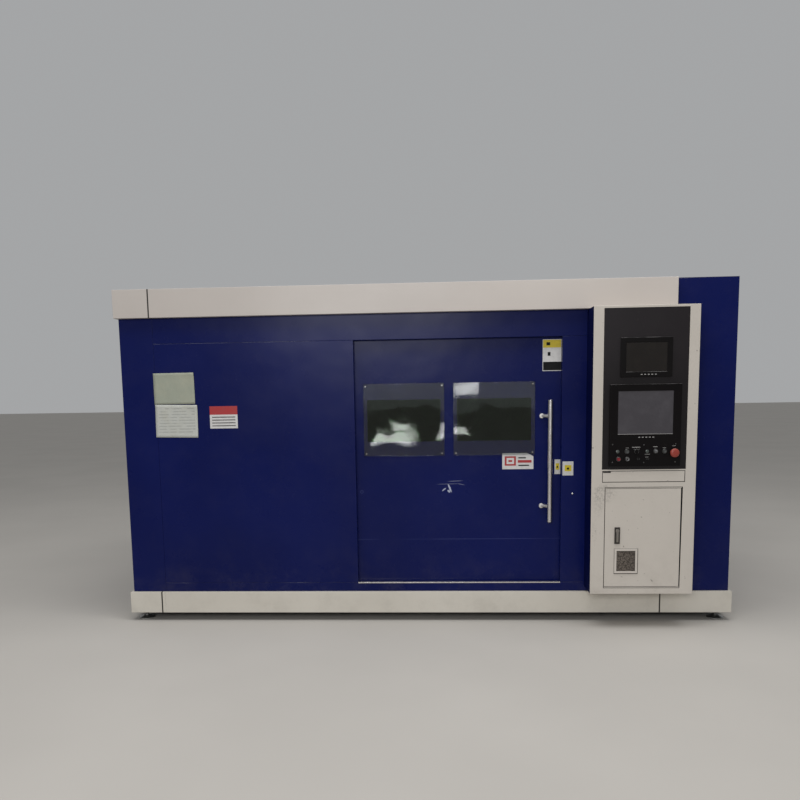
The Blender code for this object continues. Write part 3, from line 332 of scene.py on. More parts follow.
def seat(obj, body, nodes=()):
    """The piece moves with the body and stands for the nodes, which it hides."""
    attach(obj, body)
    if nodes:
        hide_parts(*nodes)
    return obj


def eased(obj, radius, segments=2, angle=30, method="ANGLE"):
    """Edges rounded by a radius, with the flat faces kept flat in shading."""
    mesh = obj.data
    mesh.shade_smooth()
    mesh.set_sharp_from_angle(angle=math.radians(angle))
    if not radius:
        return obj
    bevel = obj.modifiers.new("eased_edges", "BEVEL")
    bevel.width = radius
    bevel.segments = segments
    bevel.limit_method = method
    bevel.angle_limit = math.radians(angle)
    bevel.use_clamp_overlap = False
    weighted = obj.modifiers.new("flat_faces", "WEIGHTED_NORMAL")
    weighted.keep_sharp = False
    return plain(obj)


def merged(node):
    """A copy of a CAD piece with its loose triangles joined into faces."""
    bm = bmesh.new()
    bm.from_mesh(frame["nodes"][node].data)
    bmesh.ops.remove_doubles(bm, verts=bm.verts, dist=0.00002)
    bmesh.ops.dissolve_limit(bm, angle_limit=math.radians(0.5), verts=bm.verts, edges=bm.edges)
    return bm


def mesh_of(name, bm):
    mesh = bpy.data.meshes.new(name)
    bm.to_mesh(mesh)
    bm.free()
    return mesh


def in_its_box(obj, node):
    """No vertex of the piece stands out of the CAD piece's box."""
    low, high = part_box(node)
    for vert in obj.data.vertices:
        vert.co = [min(max(part, a), b) for part, a, b in zip(vert.co, low, high)]
    return obj


def refined(node, material, radius=0.0008, segments=2, angle=30):
    """A CAD piece with joined faces and eased edges, which stands in for it."""
    obj = made_object(node + "_finished", mesh_of(node, merged(node)), material)
    in_its_box(eased(obj, radius, segments, angle), node)
    return seat(obj, frame["nodes"][node]["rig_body"], [node])


grey_enamel = painted("grey_enamel", (0.085, 0.092, 0.10), 0.55, dust=0.7, Grime_Amount=0.5, Peel=0.2)
refined("base_frame", grey_enamel, 0.004)


# Levelling feet: zinc-plated steel pads on threaded stems, each with a hexagon lock nut drawn up
# under the frame.
thread_pitch = 0.0025
thread_depth = 0.0010
stem_radius = 0.014
nut_height = 0.016
frontward, rearward, skyward = (0, -1, 0), (0, 1, 0), (0, 0, 1)


def metal_effect():
    """Bare metal: fine lines along one way, soft stains, and a roughness that follows both."""
    inputs = {"Colour": (0.5, 0.5, 0.5, 1), "Stain": (0.20, 0.16, 0.12, 1), "Stain Amount": 0.2}
    inputs.update({"Grain": (300.0, 300.0, 6.0), "Roughness": 0.3, "Depth": 0.15})
    group, given, results = effect_group("worked_metal", inputs)
    place = object_place(group)
    stretched = signal(group, "ShaderNodeVectorMath", {0: place, 1: given["Grain"]}, operation="MULTIPLY")
    lines = noise(stretched, 1.0, 4.0, 0.6)
    mask = ramp(noise(place, 14.0, 6.0, 0.65), 0.48, 0.78) * given["Stain Amount"]
    shade = blended(ramp(lines, 0.3, 0.7), (0.82, 0.82, 0.82, 1), (1, 1, 1, 1))
    toned = blended(1.0, given["Colour"], shade, "MULTIPLY")
    rough = given["Roughness"] + (lines - 0.5) * 0.30 + mask * 0.4
    feed(results, {"Color": blended(mask, toned, given["Stain"]), "Roughness": rough})
    feed(results, {"Normal": bumped(lines, given["Depth"], 0.0004)})
    return group


worked_metal = metal_effect()


def dress_with(shader, surface, metallic):
    values = {"Base Color": surface["Color"], "Roughness": surface["Roughness"], "Normal": surface["Normal"]}
    feed(shader, {**values, "Metallic": metallic})


def bare_metal(name, colour, roughness, grain=(300, 300, 6), amount=0.2, depth=0.15):
    material, tree, shader = new_material(name)
    values = {"Colour": (*colour, 1), "Stain Amount": amount, "Grain": grain}
    dress_with(shader, effect(tree, worked_metal, {**values, "Roughness": roughness, "Depth": depth}), 1.0)
    return material


def add_box(bm, low, high):
    size = [b - a for a, b in zip(low, high)]
    middle = [(a + b) / 2 for a, b in zip(low, high)]
    matrix = Matrix.Translation(middle) @ Matrix.Diagonal((*size, 1))
    return bmesh.ops.create_cube(bm, size=1, matrix=matrix)["verts"]


def add_turned(bm, profile, centre, direction=skyward, sides=48, closed=False):
    """A turned form from (radius, height) pairs along the direction. Where a radius is 0 it closes
    on its axis, and a closed profile makes a ring."""
    turn = Vector(direction).to_track_quat("Z", "Y").to_matrix()
    rings = []
    for radius, height in profile:
        angles = [math.tau * k / sides for k in range(sides)] if radius else [0]
        points = [Vector((radius * math.cos(a), radius * math.sin(a), height)) for a in angles]
        rings.append([bm.verts.new(turn @ point + Vector(centre)) for point in points])
    faces = []
    for ring, other in zip(rings, rings[1:] + (rings[:1] if closed else [])):
        for k in range(sides if len(ring) + len(other) > 2 else 0):
            corners = [ring[k % len(ring)], ring[(k + 1) % len(ring)]]
            corners += [other[(k + 1) % len(other)], other[k % len(other)]]
            corners = list(dict.fromkeys(corners))
            if len(corners) > 2:
                faces.append(bm.faces.new(corners))
    bmesh.ops.recalc_face_normals(bm, faces=faces)


def solid(name, bm, material, body, slot, nodes=(), radius=0.0, segments=2, angle=30):
    """A new piece from its mesh, with eased edges."""
    obj = made_object(name, mesh_of(name, bm), material)
    eased(obj, radius, segments, angle)
    return seat(obj, body, nodes)


def built(name, material, body, slot, *shapes, **more):
    """A new piece from boxes, each given by two corners, and from turned forms, each given by the
    three or more values that add_turned takes."""
    bm = bmesh.new()
    for shape in shapes:
        add = add_box if len(shape) == 2 else add_turned
        add(bm, *shape)
    return solid(name, bm, material, body, slot, **more)


def body_of(node):
    return frame["nodes"][node]["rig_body"]


def stand_in(node, material, slot, *shapes, **more):
    """A new piece in the place of a CAD piece."""
    name = node + "_finished"
    return built(name, material, body_of(node), slot, *shapes, nodes=[node], **more)


def middle_of(node):
    return [(a + b) / 2 for a, b in zip(*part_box(node))]


def upright_box(x, y, half_x, half_y, bottom, top):
    """The corners of a box from its middle in plan and its two heights."""
    return (x - half_x, y - half_y, bottom), (x + half_x, y + half_y, top)


def facing_box(x, z, half_x, half_z, front, back):
    """The corners of a box from its middle seen from the front and its two depths."""
    return (x - half_x, front, z - half_z), (x + half_x, back, z + half_z)


def level_foot(name, finish):
    low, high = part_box(name)
    x, y, _ = middle_of(name)
    pad, rim, pad_top = (high.x - low.x) / 2, 0.0015, 0.022
    plate = [(0, 0), (pad - rim, 0), (pad, rim), (pad, 0.008), (pad - rim, 0.0095)]
    plate += [(0.026, 0.018), (0.020, pad_top), (0, pad_top)]
    stem = [(0, 0.021), (stem_radius, 0.021)]
    z = 0.024
    while z < high.z - 0.002:
        stem += [(stem_radius, z), (stem_radius - thread_depth, z + thread_pitch / 2)]
        z += thread_pitch
    stem += [(0.013, high.z), (0, high.z)]
    nut_low = high.z - nut_height
    nut = [(0, nut_low), (0.021, nut_low), (0.024, nut_low + 0.002), (0.024, high.z - 0.002)]
    nut += [(0.021, high.z), (0, high.z)]
    shapes = [(profile, (x, y, 0), skyward, sides) for profile, sides in ((plate, 48), (stem, 24), (nut, 6))]
    stand_in(name, finish, "zinc_steel", *shapes)


zinc_plate = bare_metal("zinc_plate", (0.42, 0.42, 0.41), 0.42, (60, 60, 60), amount=0.5)
for foot in ("foot_front_left", "foot_front_right", "foot_rear_left", "foot_rear_right"):
    level_foot(foot, zinc_plate)


# Plinth: white kick sheets folded from 2 mm steel, proud of the skin and lapped over the frame. They
# are scuffed and greyed by the floor, and an upright seam parts each length from the next.
def folded(node, material, fold=0.0028, rim=0.0006):
    """A folded sheet: its long outer folds take the fold's radius and its cut rims a much finer one."""
    bm = merged(node)
    layer = bm.edges.layers.float.new("bevel_weight_edge")
    for edge in bm.edges:
        if len(edge.link_faces) != 2 or edge.calc_face_angle(0) < math.radians(30):
            continue
        widths = [face.calc_area() / edge.calc_length() for face in edge.link_faces]
        edge[layer] = 1.0 if edge.is_convex and min(widths) > 3 * fold else rim / fold
    obj = made_object(node + "_finished", mesh_of(node, bm), material)
    in_its_box(eased(obj, fold, 3, 30, "WEIGHT"), node)
    return seat(obj, body_of(node), [node])


def near(value, target, half, fringe):
    """1 within half of the target and 0 past the fringe."""
    return 1.0 - ramp(worked("ABSOLUTE", value - target), half, half + fringe)


def seam_marks(*seams):
    """Dark upright seams where two lengths of sheet butt together, at these places along X."""

    def marks(shade):
        along = parts_of(object_place(shade.tree))["X"]
        for x in seams:
            shade = blended(near(along, x, 0.0040, 0.0015), shade, (0.020, 0.017, 0.014, 1))
        return shade

    return marks


plinth_colour = (0.60, 0.565, 0.50)
plinth_paint = {"dust": 0.3, "Grime_Amount": 0.14, "Tone_Drift": 0.10, "Waviness": 0.06}
plinth_white = painted("plinth_white", plinth_colour, 0.42, **plinth_paint)
seamed_white = painted("seamed_white", plinth_colour, 0.42, marks=seam_marks(-1.845, 1.591), **plinth_paint)
for plinth, finish in (
    ("plinth_front", plinth_white),
    ("plinth_left", seamed_white),
    ("plinth_right", seamed_white),
    ("plinth_rear", plinth_white),
):
    folded(plinth, finish)


# Machine bed: welded steel plate, stress relieved, under grey enamel. The tops of its beams are
# machined bright where the rails and racks sit, and slag has dirtied the bay.
rack_width = 0.020
rack_height = 0.011
rack_offset = 0.040
rack_pitch = 0.0105
face_slack = 0.0005


def recoated(obj, material, test):
    """Gives the faces that pass the test another material."""
    obj.data.materials.append(material)
    index = len(obj.data.materials) - 1
    for face in obj.data.polygons:
        if test(face.center, face.normal):
            face.material_index = index


def geometry_tree(name, **inputs):
    """An empty Geometry Nodes tree with named inputs and a Finish."""
    tree = bpy.data.node_groups.new(name, "GeometryNodeTree")
    tree.interface.new_socket("Geometry", in_out="OUTPUT", socket_type="NodeSocketGeometry")
    for socket, kind in {**inputs, "Finish": "Material"}.items():
        socket = socket.replace("_", " ")
        tree.interface.new_socket(socket, in_out="INPUT", socket_type="NodeSocket" + kind)
    return tree, outputs_of(tree.nodes.new("NodeGroupInput"))


def spaced(names):
    return {name.replace("_", " "): value for name, value in names.items()}


def vector(tree, **parts):
    return signal(tree, "ShaderNodeCombineXYZ", parts)


def form(tree, kind, **sizes):
    """A mesh primitive: a cube, cone, cylinder, circle or grid."""
    return signal(tree, "GeometryNodeMesh" + kind, spaced(sizes))


def moved(geometry, **how):
    return signal(geometry.tree, "GeometryNodeTransform", {"Geometry": geometry, **how})


def points_along(count, start, step):
    values = {"Count": count, "Start Location": start, "Offset": step}
    return signal(step.tree, "GeometryNodeMeshLine", values, mode="OFFSET")


def lined(given, axis, instance):
    """Count copies from the Start at the Pitch along an axis."""
    step = vector(instance.tree, **{axis: given["Pitch"]})
    return copied(points_along(given["Count"], given["Start"], step), instance)


def copied(points, instance, **how):
    values = {"Points": points, "Instance": instance, **how}
    return signal(points.tree, "GeometryNodeInstanceOnPoints", values)


def realized(instances):
    return signal(instances.tree, "GeometryNodeRealizeInstances", {"Geometry": instances})


def together(*parts):
    node = parts[0].tree.nodes.new("GeometryNodeJoinGeometry")
    for part in parts:
        feed(node, {0: part})
    return Signal(node.outputs[0])


def dressed(geometry, given):
    """Realizes the instances, sets their material, ends the tree and returns it."""
    values = {"Geometry": realized(geometry), "Material": given["Finish"]}
    finished = signal(geometry.tree, "GeometryNodeSetMaterial", values)
    feed(geometry.tree.nodes.new("NodeGroupOutput"), {"Geometry": finished})
    return geometry.tree


def grown(name, tree, body, slot, finish, **values):
    """A plain mesh that a Geometry Nodes tree makes from its named inputs."""
    obj = bpy.data.objects.new(name, bpy.data.meshes.new(name))
    modifier = obj.modifiers.new("grown", "NODES")
    modifier.node_group = tree
    values = spaced({**values, "Finish": finish})
    for item in tree.interface.items_tree:
        if item.in_out == "INPUT":
            modifier[item.identifier] = values[item.name]
    scene.collection.objects.link(obj)
    return seat(plain(obj), body)


def rack_tree():
    """A toothed rack: a bar with Count teeth across it, from the Start along X."""
    sizes = {"Pitch": "Float", "Count": "Int", "Width": "Float", "Height": "Float"}
    tree, given = geometry_tree("rack", Start="Vector", **sizes)
    pitch, width, height = given["Pitch"], given["Width"], given["Height"]
    long_side, bar_height = pitch * given["Count"], height * 0.6
    bar = form(tree, "Cube", Size=vector(tree, X=long_side, Y=width, Z=bar_height))
    bar = moved(bar, Translation=vector(tree, X=long_side * 0.5, Z=bar_height * 0.5))
    foot, tip = pitch * 0.52, pitch * 0.26
    wedge = form(tree, "Cone", Vertices=4, Radius_Top=tip, Radius_Bottom=foot, Depth=height * 0.4)
    squared = moved(wedge, Rotation=(0, 0, math.pi / 4))
    tooth = moved(squared, Scale=vector(tree, X=1.0, Y=width / (foot * 1.5), Z=1.0))
    first = vector(tree, X=pitch * 0.5, Z=bar_height)
    teeth = copied(points_along(given["Count"], first, vector(tree, X=pitch)), tooth)
    return dressed(moved(together(bar, teeth), Translation=given["Start"]), given)


bed_enamel = painted("bed_enamel", (0.17, 0.18, 0.185), 0.5, dust=0.65, Grime_Amount=0.9, Peel=0.5)
machined_steel = bare_metal("machined_steel", (0.40, 0.40, 0.40), 0.34, (8, 260, 260), amount=0.35)
bed = refined("machine_bed", bed_enamel, 0.003)
bed_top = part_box("machine_bed")[1].z
recoated(bed, machined_steel, lambda centre, normal: normal.z > 0.9 and centre.z > bed_top - face_slack)
gear_rack = rack_tree()
for side, way in (("front", -1), ("rear", 1)):
    low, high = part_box("x_rail_" + side)
    start = (low.x, (low.y + high.y) / 2 + way * rack_offset, bed_top)
    sizes = {"Start": start, "Pitch": rack_pitch, "Width": rack_width, "Height": rack_height}
    count = int((high.x - low.x) / rack_pitch)
    grown("rack_" + side, gear_rack, "machine", "rail_steel", machined_steel, Count=count, **sizes)


# Slat table: mild steel slats, saw-toothed on top, slotted into a frame of flat bar. The laser has
# blackened the tips and left heat tints and spatter below them.
table_bar = 0.040
table_bar_height = 0.070
slat_seat = 0.020
slat_rise = 0.120
tooth_depth = 0.030
tooth_pitch = 0.10
slat_thickness = 0.004
slat_spacing = 0.150


def burnt_steel():
    material, tree, shader = new_material("burnt_slat_steel")
    values = {"Colour": (0.26, 0.25, 0.24, 1), "Stain": (0.13, 0.07, 0.035, 1), "Stain Amount": 0.8}
    surface = effect(tree, worked_metal, {**values, "Grain": (40, 40, 160), "Roughness": 0.5, "Depth": 0.3})
    place = object_place(tree)
    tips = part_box("slat_table")[1].z
    height = parts_of(place)["Z"] + noise(place, 25.0, 5.0) * 0.05
    burnt = ramp(height, tips - 0.035, tips + 0.02)
    charred = blended(burnt, surface["Color"], (0.03, 0.026, 0.024, 1))
    dress_with(shader, {**surface, "Color": charred}, 0.9 - burnt * 0.7)
    return material


def slat_tree():
    """Upright saw-toothed slats along Y, Count of them from the Start at the Pitch along X."""
    sizes = {"Pitch": "Float", "Count": "Int", "Length": "Float", "Teeth": "Int"}
    sizes.update({"Valley": "Float", "Tooth": "Float", "Thickness": "Float"})
    tree, given = geometry_tree("saw_slats", Start="Vector", **sizes)
    length, valley, teeth = given["Length"], given["Valley"], given["Teeth"]
    grid = form(tree, "Grid", Vertices_X=teeth * 2 + 1, Vertices_Y=2, Size_X=length, Size_Y=valley)
    lift = valley * 0.5
    middle = vector(tree, Y=length * 0.5, Z=lift)
    sheet = moved(grid, Rotation=(math.pi / 2, 0, math.pi / 2), Translation=middle)
    parts = parts_of(signal(tree, "GeometryNodeInputPosition"))
    number = worked("ROUND", parts["Y"] / (length / (teeth * 2)))
    on_top = worked("GREATER_THAN", parts["Z"], lift)
    rise = worked("MODULO", number, 2) * on_top * given["Tooth"]
    raised = {"Geometry": sheet, "Offset": vector(tree, Z=rise)}
    toothed = signal(tree, "GeometryNodeSetPosition", raised)
    thick = {"Mesh": toothed, "Offset Scale": given["Thickness"], "Individual": False}
    thick = signal(tree, "GeometryNodeExtrudeMesh", thick)
    both = together(thick, signal(tree, "GeometryNodeFlipFaces", {"Mesh": toothed}))
    closed = signal(tree, "GeometryNodeMergeByDistance", {"Geometry": both, "Distance": 0.00001})
    return dressed(lined(given, "X", closed), given)


def slat_table():
    finish = burnt_steel()
    low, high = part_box("slat_table")
    left, right, bar_top = low.x + table_bar, high.x - table_bar, low.z + table_bar_height
    bars = [(low, (left, high.y, bar_top)), ((right, low.y, low.z), (high.x, high.y, bar_top))]
    bars += [((left, low.y, low.z), (right, low.y + table_bar, bar_top))]
    bars += [((left, high.y - table_bar, low.z), (right, high.y, bar_top))]
    built("slat_frame", finish, "machine", "slat_steel", *bars, nodes=["slat_table"], radius=0.0015)
    length = high.y - low.y - 2 * slat_seat
    count, teeth = int((right - left) / slat_spacing), round(length / tooth_pitch)
    spacing = (right - left) / count
    start = (left + spacing / 2 - slat_thickness / 2, low.y + slat_seat, low.z + slat_seat)
    sizes = {"Start": start, "Pitch": spacing, "Count": count, "Length": length, "Teeth": teeth}
    sizes.update({"Valley": slat_rise - tooth_depth, "Tooth": tooth_depth, "Thickness": slat_thickness})
    grown("slats", slat_tree(), "machine", "slat_steel", finish, **sizes)


slat_table()


# Guide rails: hardened and ground steel, screwed to the bed every 60 mm through counterbored holes
# that plastic plugs close.
rail_screw_pitch = 0.060
plug_radius = 0.0055
plug_socket = 0.2


def screw_field_tree():
    """Round heads with a hexagon socket, on a grid of Columns by Rows from the Start. The Socket is
    the share of the radius that the hexagon takes."""
    sizes = {"Along": "Vector", "Columns": "Int", "Across": "Vector", "Rows": "Int", "Turn": "Vector"}
    sizes.update({"Radius": "Float", "Height": "Float", "Socket": "Float"})
    tree, given = geometry_tree("screw_field", Start="Vector", **sizes)
    radius, height = given["Radius"], given["Height"]
    column = points_along(given["Columns"], given["Start"], given["Along"])
    row = points_along(given["Rows"], (0, 0, 0), given["Across"])
    cone = {"Radius_Top": radius * 0.72, "Radius_Bottom": radius, "Depth": height}
    head = form(tree, "Cone", Vertices=16, **cone)
    sunk = form(tree, "Cylinder", Vertices=6, Radius=radius * given["Socket"], Depth=height)
    sunk = moved(sunk, Translation=vector(tree, Z=height * 0.9))
    parts = {"Mesh 1": head, "Mesh 2": sunk}
    hollow = signal(tree, "GeometryNodeMeshBoolean", parts, operation="DIFFERENCE")
    turn = signal(tree, "FunctionNodeEulerToRotation", {0: given["Turn"]})
    return dressed(copied(realized(copied(row, column)), hollow, Rotation=turn), given)


screw_field = screw_field_tree()
to_front, to_rear, to_left, to_right, upwards = (
    (math.pi / 2, 0, 0),
    (-math.pi / 2, 0, 0),
    (0, -math.pi / 2, 0),
    (0, math.pi / 2, 0),
    (0, 0, 0),
)


def screws(
    name,
    body,
    finish,
    start,
    along,
    columns,
    across=(0, 0, 0),
    rows=1,
    turn=to_front,
    size=0.005,
    socket=0.45,
):
    """Rows of screw heads that stand on the face whose point is the start."""
    values = {"Start": start, "Along": along, "Columns": columns, "Across": across, "Rows": rows}
    values.update({"Turn": turn, "Radius": size, "Height": size * 0.9, "Socket": socket})
    return grown(name, screw_field, body, "zinc_steel", finish, **values)


ground_steel = bare_metal("ground_steel", (0.56, 0.56, 0.57), 0.22, (6, 400, 400), amount=0.15)
dark_plug = painted("dark_plug", (0.05, 0.05, 0.055), 0.4, dust=0.3)
for rail in ("x_rail_front", "x_rail_rear"):
    refined(rail, ground_steel, 0.0015)
    low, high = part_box(rail)
    start = (low.x + rail_screw_pitch / 2, (low.y + high.y) / 2, high.z - plug_radius * 0.35)
    count = int((high.x - low.x) / rail_screw_pitch)
    step = (rail_screw_pitch, 0, 0)
    plugs = {"turn": upwards, "size": plug_radius, "socket": plug_socket}
    screws(rail + "_plugs", "machine", dark_plug, start, step, count, **plugs)


# Gantry beam: a cast and machined aluminium beam, pocketed behind, on two saddles that run on the
# rails. Ground guide rails are screwed to its front, and a servo motor stands on each saddle.
motor_half = 0.046
motor_fin_reach = 0.0025
motor_fin_pitch = 0.008
motor_fin_thickness = 0.003
motor_cap_height = 0.032
motor_cap_share = 0.86
motor_edge = 0.003
motor_height = 0.140
saddle_bolt_step = 0.022
saddle_bolt_inset = 0.020
beam_rail_inset = 0.040
beam_rail_pitch = 0.080
beam_rail_half = 0.010
beam_rail_reach = 0.014
beam_half_width = 0.090
saddle_skirt = 0.020
saddle_height = 0.100
saddle_bolt_gap = 0.090
motor_inset = 0.055
casting_grain = 90.0


def cast_effect():
    """Cast metal: pebbled, with soft oil stains, and smoother where it is machined."""
    inputs = {"Colour": (0.5, 0.5, 0.5, 1), "Stain": (0.25, 0.22, 0.18, 1), "Grain": casting_grain}
    inputs.update({"Roughness": 0.45, "Depth": 0.3})
    group, given, results = effect_group("cast_metal", inputs)
    place = object_place(group)
    pebbles = noise(place, given["Grain"], 4.0, 0.6)
    stains = ramp(noise(place, 9.0, 5.0, 0.6), 0.5, 0.8) * 0.4
    shade = blended(ramp(pebbles, 0.3, 0.7), (0.85, 0.85, 0.85, 1), (1, 1, 1, 1))
    toned = blended(1.0, given["Colour"], shade, "MULTIPLY")
    feed(results, {"Color": blended(stains, toned, given["Stain"])})
    feed(results, {"Roughness": given["Roughness"] + pebbles * 0.15})
    feed(results, {"Normal": bumped(pebbles, given["Depth"], 0.0008)})
    return group


cast_metal = cast_effect()


def casting(name, colour, roughness, depth, grain=casting_grain):
    material, tree, shader = new_material(name)
    values = {"Colour": (*colour, 1), "Roughness": roughness, "Depth": depth, "Grain": grain}
    dress_with(shader, effect(tree, cast_metal, values), 1.0)
    return material


def plate_stack_tree():
    """Square plates with a common axis, Count of them from the Start at the Pitch along Z."""
    sizes = {"Pitch": "Float", "Count": "Int", "Side": "Float", "Thickness": "Float"}
    tree, given = geometry_tree("plate_stack", Start="Vector", **sizes)
    size = vector(tree, X=given["Side"], Y=given["Side"], Z=given["Thickness"])
    return dressed(lined(given, "Z", form(tree, "Cube", Size=size)), given)


plate_stack = plate_stack_tree()
cast_aluminium = casting("cast_aluminium", (0.55, 0.55, 0.56), 0.35, 0.35)
motor_black = painted("motor_black", (0.022, 0.022, 0.024), 0.42, dust=0.5, Peel=0.25)
socket_steel = bare_metal("socket_steel", (0.30, 0.30, 0.31), 0.34, (90, 90, 90), amount=0.1)


def motor_boxes(x, y, half, foot, top):
    """A square housing and the end cap on it."""
    cap, narrow = top - motor_cap_height, half * motor_cap_share
    housing = upright_box(x, y, half, half, foot, cap - 0.002)
    return cap, [housing, upright_box(x, y, narrow, narrow, cap - 0.003, top)]


def motor_fins(name, body, start, half, room):
    sizes = {"Start": start, "Pitch": motor_fin_pitch, "Count": int(room / motor_fin_pitch)}
    sizes.update({"Side": 2 * (half + motor_fin_reach), "Thickness": motor_fin_thickness})
    grown(name, plate_stack, body, "motor_paint", motor_black, **sizes)


def servo_motor(name, body, x, y, low, high, half):
    """A square finned housing with an end cap and a plug on its side."""
    cap, boxes = motor_boxes(x, y, half, low, high)
    plug = ((x - half - 0.016, y - 0.014, cap - 0.040), (x - half + 0.002, y + 0.014, cap - 0.012))
    built(name, motor_black, body, "motor_paint", *boxes, plug, radius=motor_edge)
    motor_fins(name + "_fins", body, (x, y, low + 0.016), half, cap - low - 0.030)


def gantry():
    low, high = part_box("gantry_beam")
    front_face = (low.x + high.x) / 2 + beam_half_width
    saddle_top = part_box("x_rail_front")[1].z - saddle_skirt + saddle_height
    rails = saddle_top + beam_rail_inset, high.z - beam_rail_inset
    beam = refined("gantry_beam", cast_aluminium, 0.003)
    recoated(
        beam,
        ground_steel,
        lambda centre, normal: centre.x > front_face + face_slack
        and min(abs(centre.z - z) for z in rails) < beam_rail_half + face_slack,
    )
    for side in ("front", "rear"):
        y = middle_of("x_rail_" + side)[1]
        foot = saddle_top + 0.010
        heights = foot, foot + motor_height
        servo_motor("x_motor_" + side, "gantry", low.x + motor_inset, y, *heights, motor_half)
        start = (high.x - saddle_bolt_inset, y + saddle_bolt_gap / 2, saddle_top)
        grid = {"across": (0, -saddle_bolt_gap, 0), "rows": 2, "turn": upwards, "size": 0.006}
        step = (-saddle_bolt_step, 0, 0)
        screws("saddle_bolts_" + side, "gantry", socket_steel, start, step, 2, **grid)
    count = int((high.y - low.y - 0.04) / beam_rail_pitch)
    first = (low.y + high.y - (count - 1) * beam_rail_pitch) / 2
    step, plugs = (0, beam_rail_pitch, 0), {"turn": to_right, "size": 0.004, "socket": plug_socket}
    for name, z in zip(("lower", "upper"), rails):
        start = (front_face + beam_rail_reach - 0.0015, first, z)
        screws("beam_rail_plugs_" + name, "gantry", dark_plug, start, step, count, **plugs)


gantry()


# Carriage: an aluminium plate that hooks over the beam. It carries the lifting motor on its shelf,
# and its screws sit in counterbores.
hook_reach = 0.060
beam_clearance = 0.0143
carriage_plate = 0.035
carriage_screw_gap = 0.136
hook_screws = 5
hook_screw_gap = 0.031


def carriage():
    low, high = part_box("y_carriage")
    refined("y_carriage", cast_aluminium, 0.002)
    middle = (low.y + high.y) / 2
    plate_face = low.x + hook_reach + beam_half_width + beam_clearance + carriage_plate
    start = (plate_face, middle - carriage_screw_gap / 2, low.z + 0.016)
    grid = {"across": (0, 0, 0.040), "rows": 3, "turn": to_right}
    screws("carriage_screws", "carriage", socket_steel, start, (0, carriage_screw_gap, 0), 2, **grid)
    start = (low.x + 0.018, middle - hook_screw_gap * (hook_screws - 1) / 2, high.z)
    grid = {"across": (0.028, 0, 0), "rows": 2, "turn": upwards}
    screws("hook_screws", "carriage", socket_steel, start, (0, hook_screw_gap, 0), hook_screws, **grid)
    low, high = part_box("z_motor")
    x, y, _ = middle_of("z_motor")
    half = (high.x - low.x) / 2
    inner, flange_top = half - 0.004, low.z + 0.010
    cap, boxes = motor_boxes(x, y, inner, low.z + 0.009, high.z)
    shapes = [(low, (high.x, high.y, flange_top)), *boxes]
    stand_in("z_motor", motor_black, "motor_paint", *shapes, radius=motor_edge)
    motor_fins("z_motor_fins", "carriage", (x, y, low.z + 0.022), inner, cap - low.z - 0.034)
    gap = 2 * half - 0.014
    start = (x - gap / 2, y - gap / 2, flange_top)
    grid = {"across": (0, gap, 0), "rows": 2, "turn": upwards, "size": 0.0035}
    screws("z_motor_screws", "carriage", socket_steel, start, (gap, 0, 0), 2, **grid)


carriage()


# Cutting head: anodised aluminium blocks, black above and below a bright focusing section. The
# protective glass sits in a small drawer on its front, and gas and water fittings stand on its side.
nose_length = 0.060
turned_brass = bare_metal("turned_brass", (0.70, 0.46, 0.20), 0.25, (30, 30, 500), amount=0.1)


def cutting_head():
    low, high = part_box("cutting_head")
    x, y, _ = middle_of("cutting_head")
    half_x, half_y = (high.x - low.x) / 2, (high.y - low.y) / 2
    face, nose_top = y - half_y, low.z + nose_length
    tiers = [
        (nose_top, nose_top + 0.046, 0.000),
        (nose_top + 0.0475, nose_top + 0.094, 0.004),
        (nose_top + 0.0955, high.z - 0.052, 0.001),
        (high.z - 0.0505, high.z, 0.000),
    ]
    blocks = [upright_box(x, y, half_x - inset, half_y - inset, *heights) for *heights, inset in tiers]
    core = upright_box(x, y, half_x * 0.9, half_y * 0.9, nose_top + 0.002, high.z - 0.002)
    anodised = painted("black_anodised", (0.018, 0.018, 0.020), 0.30, dust=0.2, Peel=0.3)
    head = stand_in("cutting_head", anodised, "black_paint", *blocks, core, radius=0.0025)
    bright = tiers[1]
    recoated(head, cast_aluminium, lambda centre, normal: bright[0] - 0.001 < centre.z < bright[1] + 0.001)
    nose = [(0, 0.001), (0.032, 0.001), (0.032, -0.012), (0.030, -0.014), (0.028, -0.030)]
    nose += [(0.0275, -0.034), (0.0265, -0.050)]
    nose = [(radius, nose_top + height) for radius, height in nose]
    nose += [(0.024, low.z + 0.006), (0.024, low.z + 0.001), (0.022, low.z), (0, low.z)]
    cone = (nose, (x, y, 0), skyward)
    built("head_nose", cast_aluminium, "head", "cast_aluminium", cone, radius=0.0006)
    z = nose_top + 0.070
    knob = [(0, 0), (0.006, 0), (0.006, 0.0004), (0.0055, 0.0009), (0, 0.0009)]
    front = facing_box(x, z, 0.026, 0.012, face - 0.0005, face + 0.006)
    turned = (knob, (x, face - 0.0005, z), frontward, 24)
    built("lens_drawer", anodised, "head", "black_paint", front, turned, radius=0.0008)
    ferrule = [(0, 0), (0.005, 0), (0.005, 0.0035), (0.0065, 0.004), (0.0065, 0.009)]
    ferrule += [(0.003, 0.0095), (0, 0.0095)]
    places = [(x + way * 0.022, y + half_y - 0.0095, high.z - 0.0005) for way in (-1, 1)]
    shapes = [(ferrule, place, skyward, 12) for place in places]
    built("gas_fittings", turned_brass, "head", "nozzle_brass", *shapes, radius=0.0003)
    start = (x - half_x + 0.008, face, tiers[3][0] + 0.010)
    grid = {"across": (0, 0, 0.030), "rows": 2, "size": 0.0028}
    screws("head_screws", "head", socket_steel, start, (2 * half_x - 0.016, 0, 0), 2, **grid)


cutting_head()


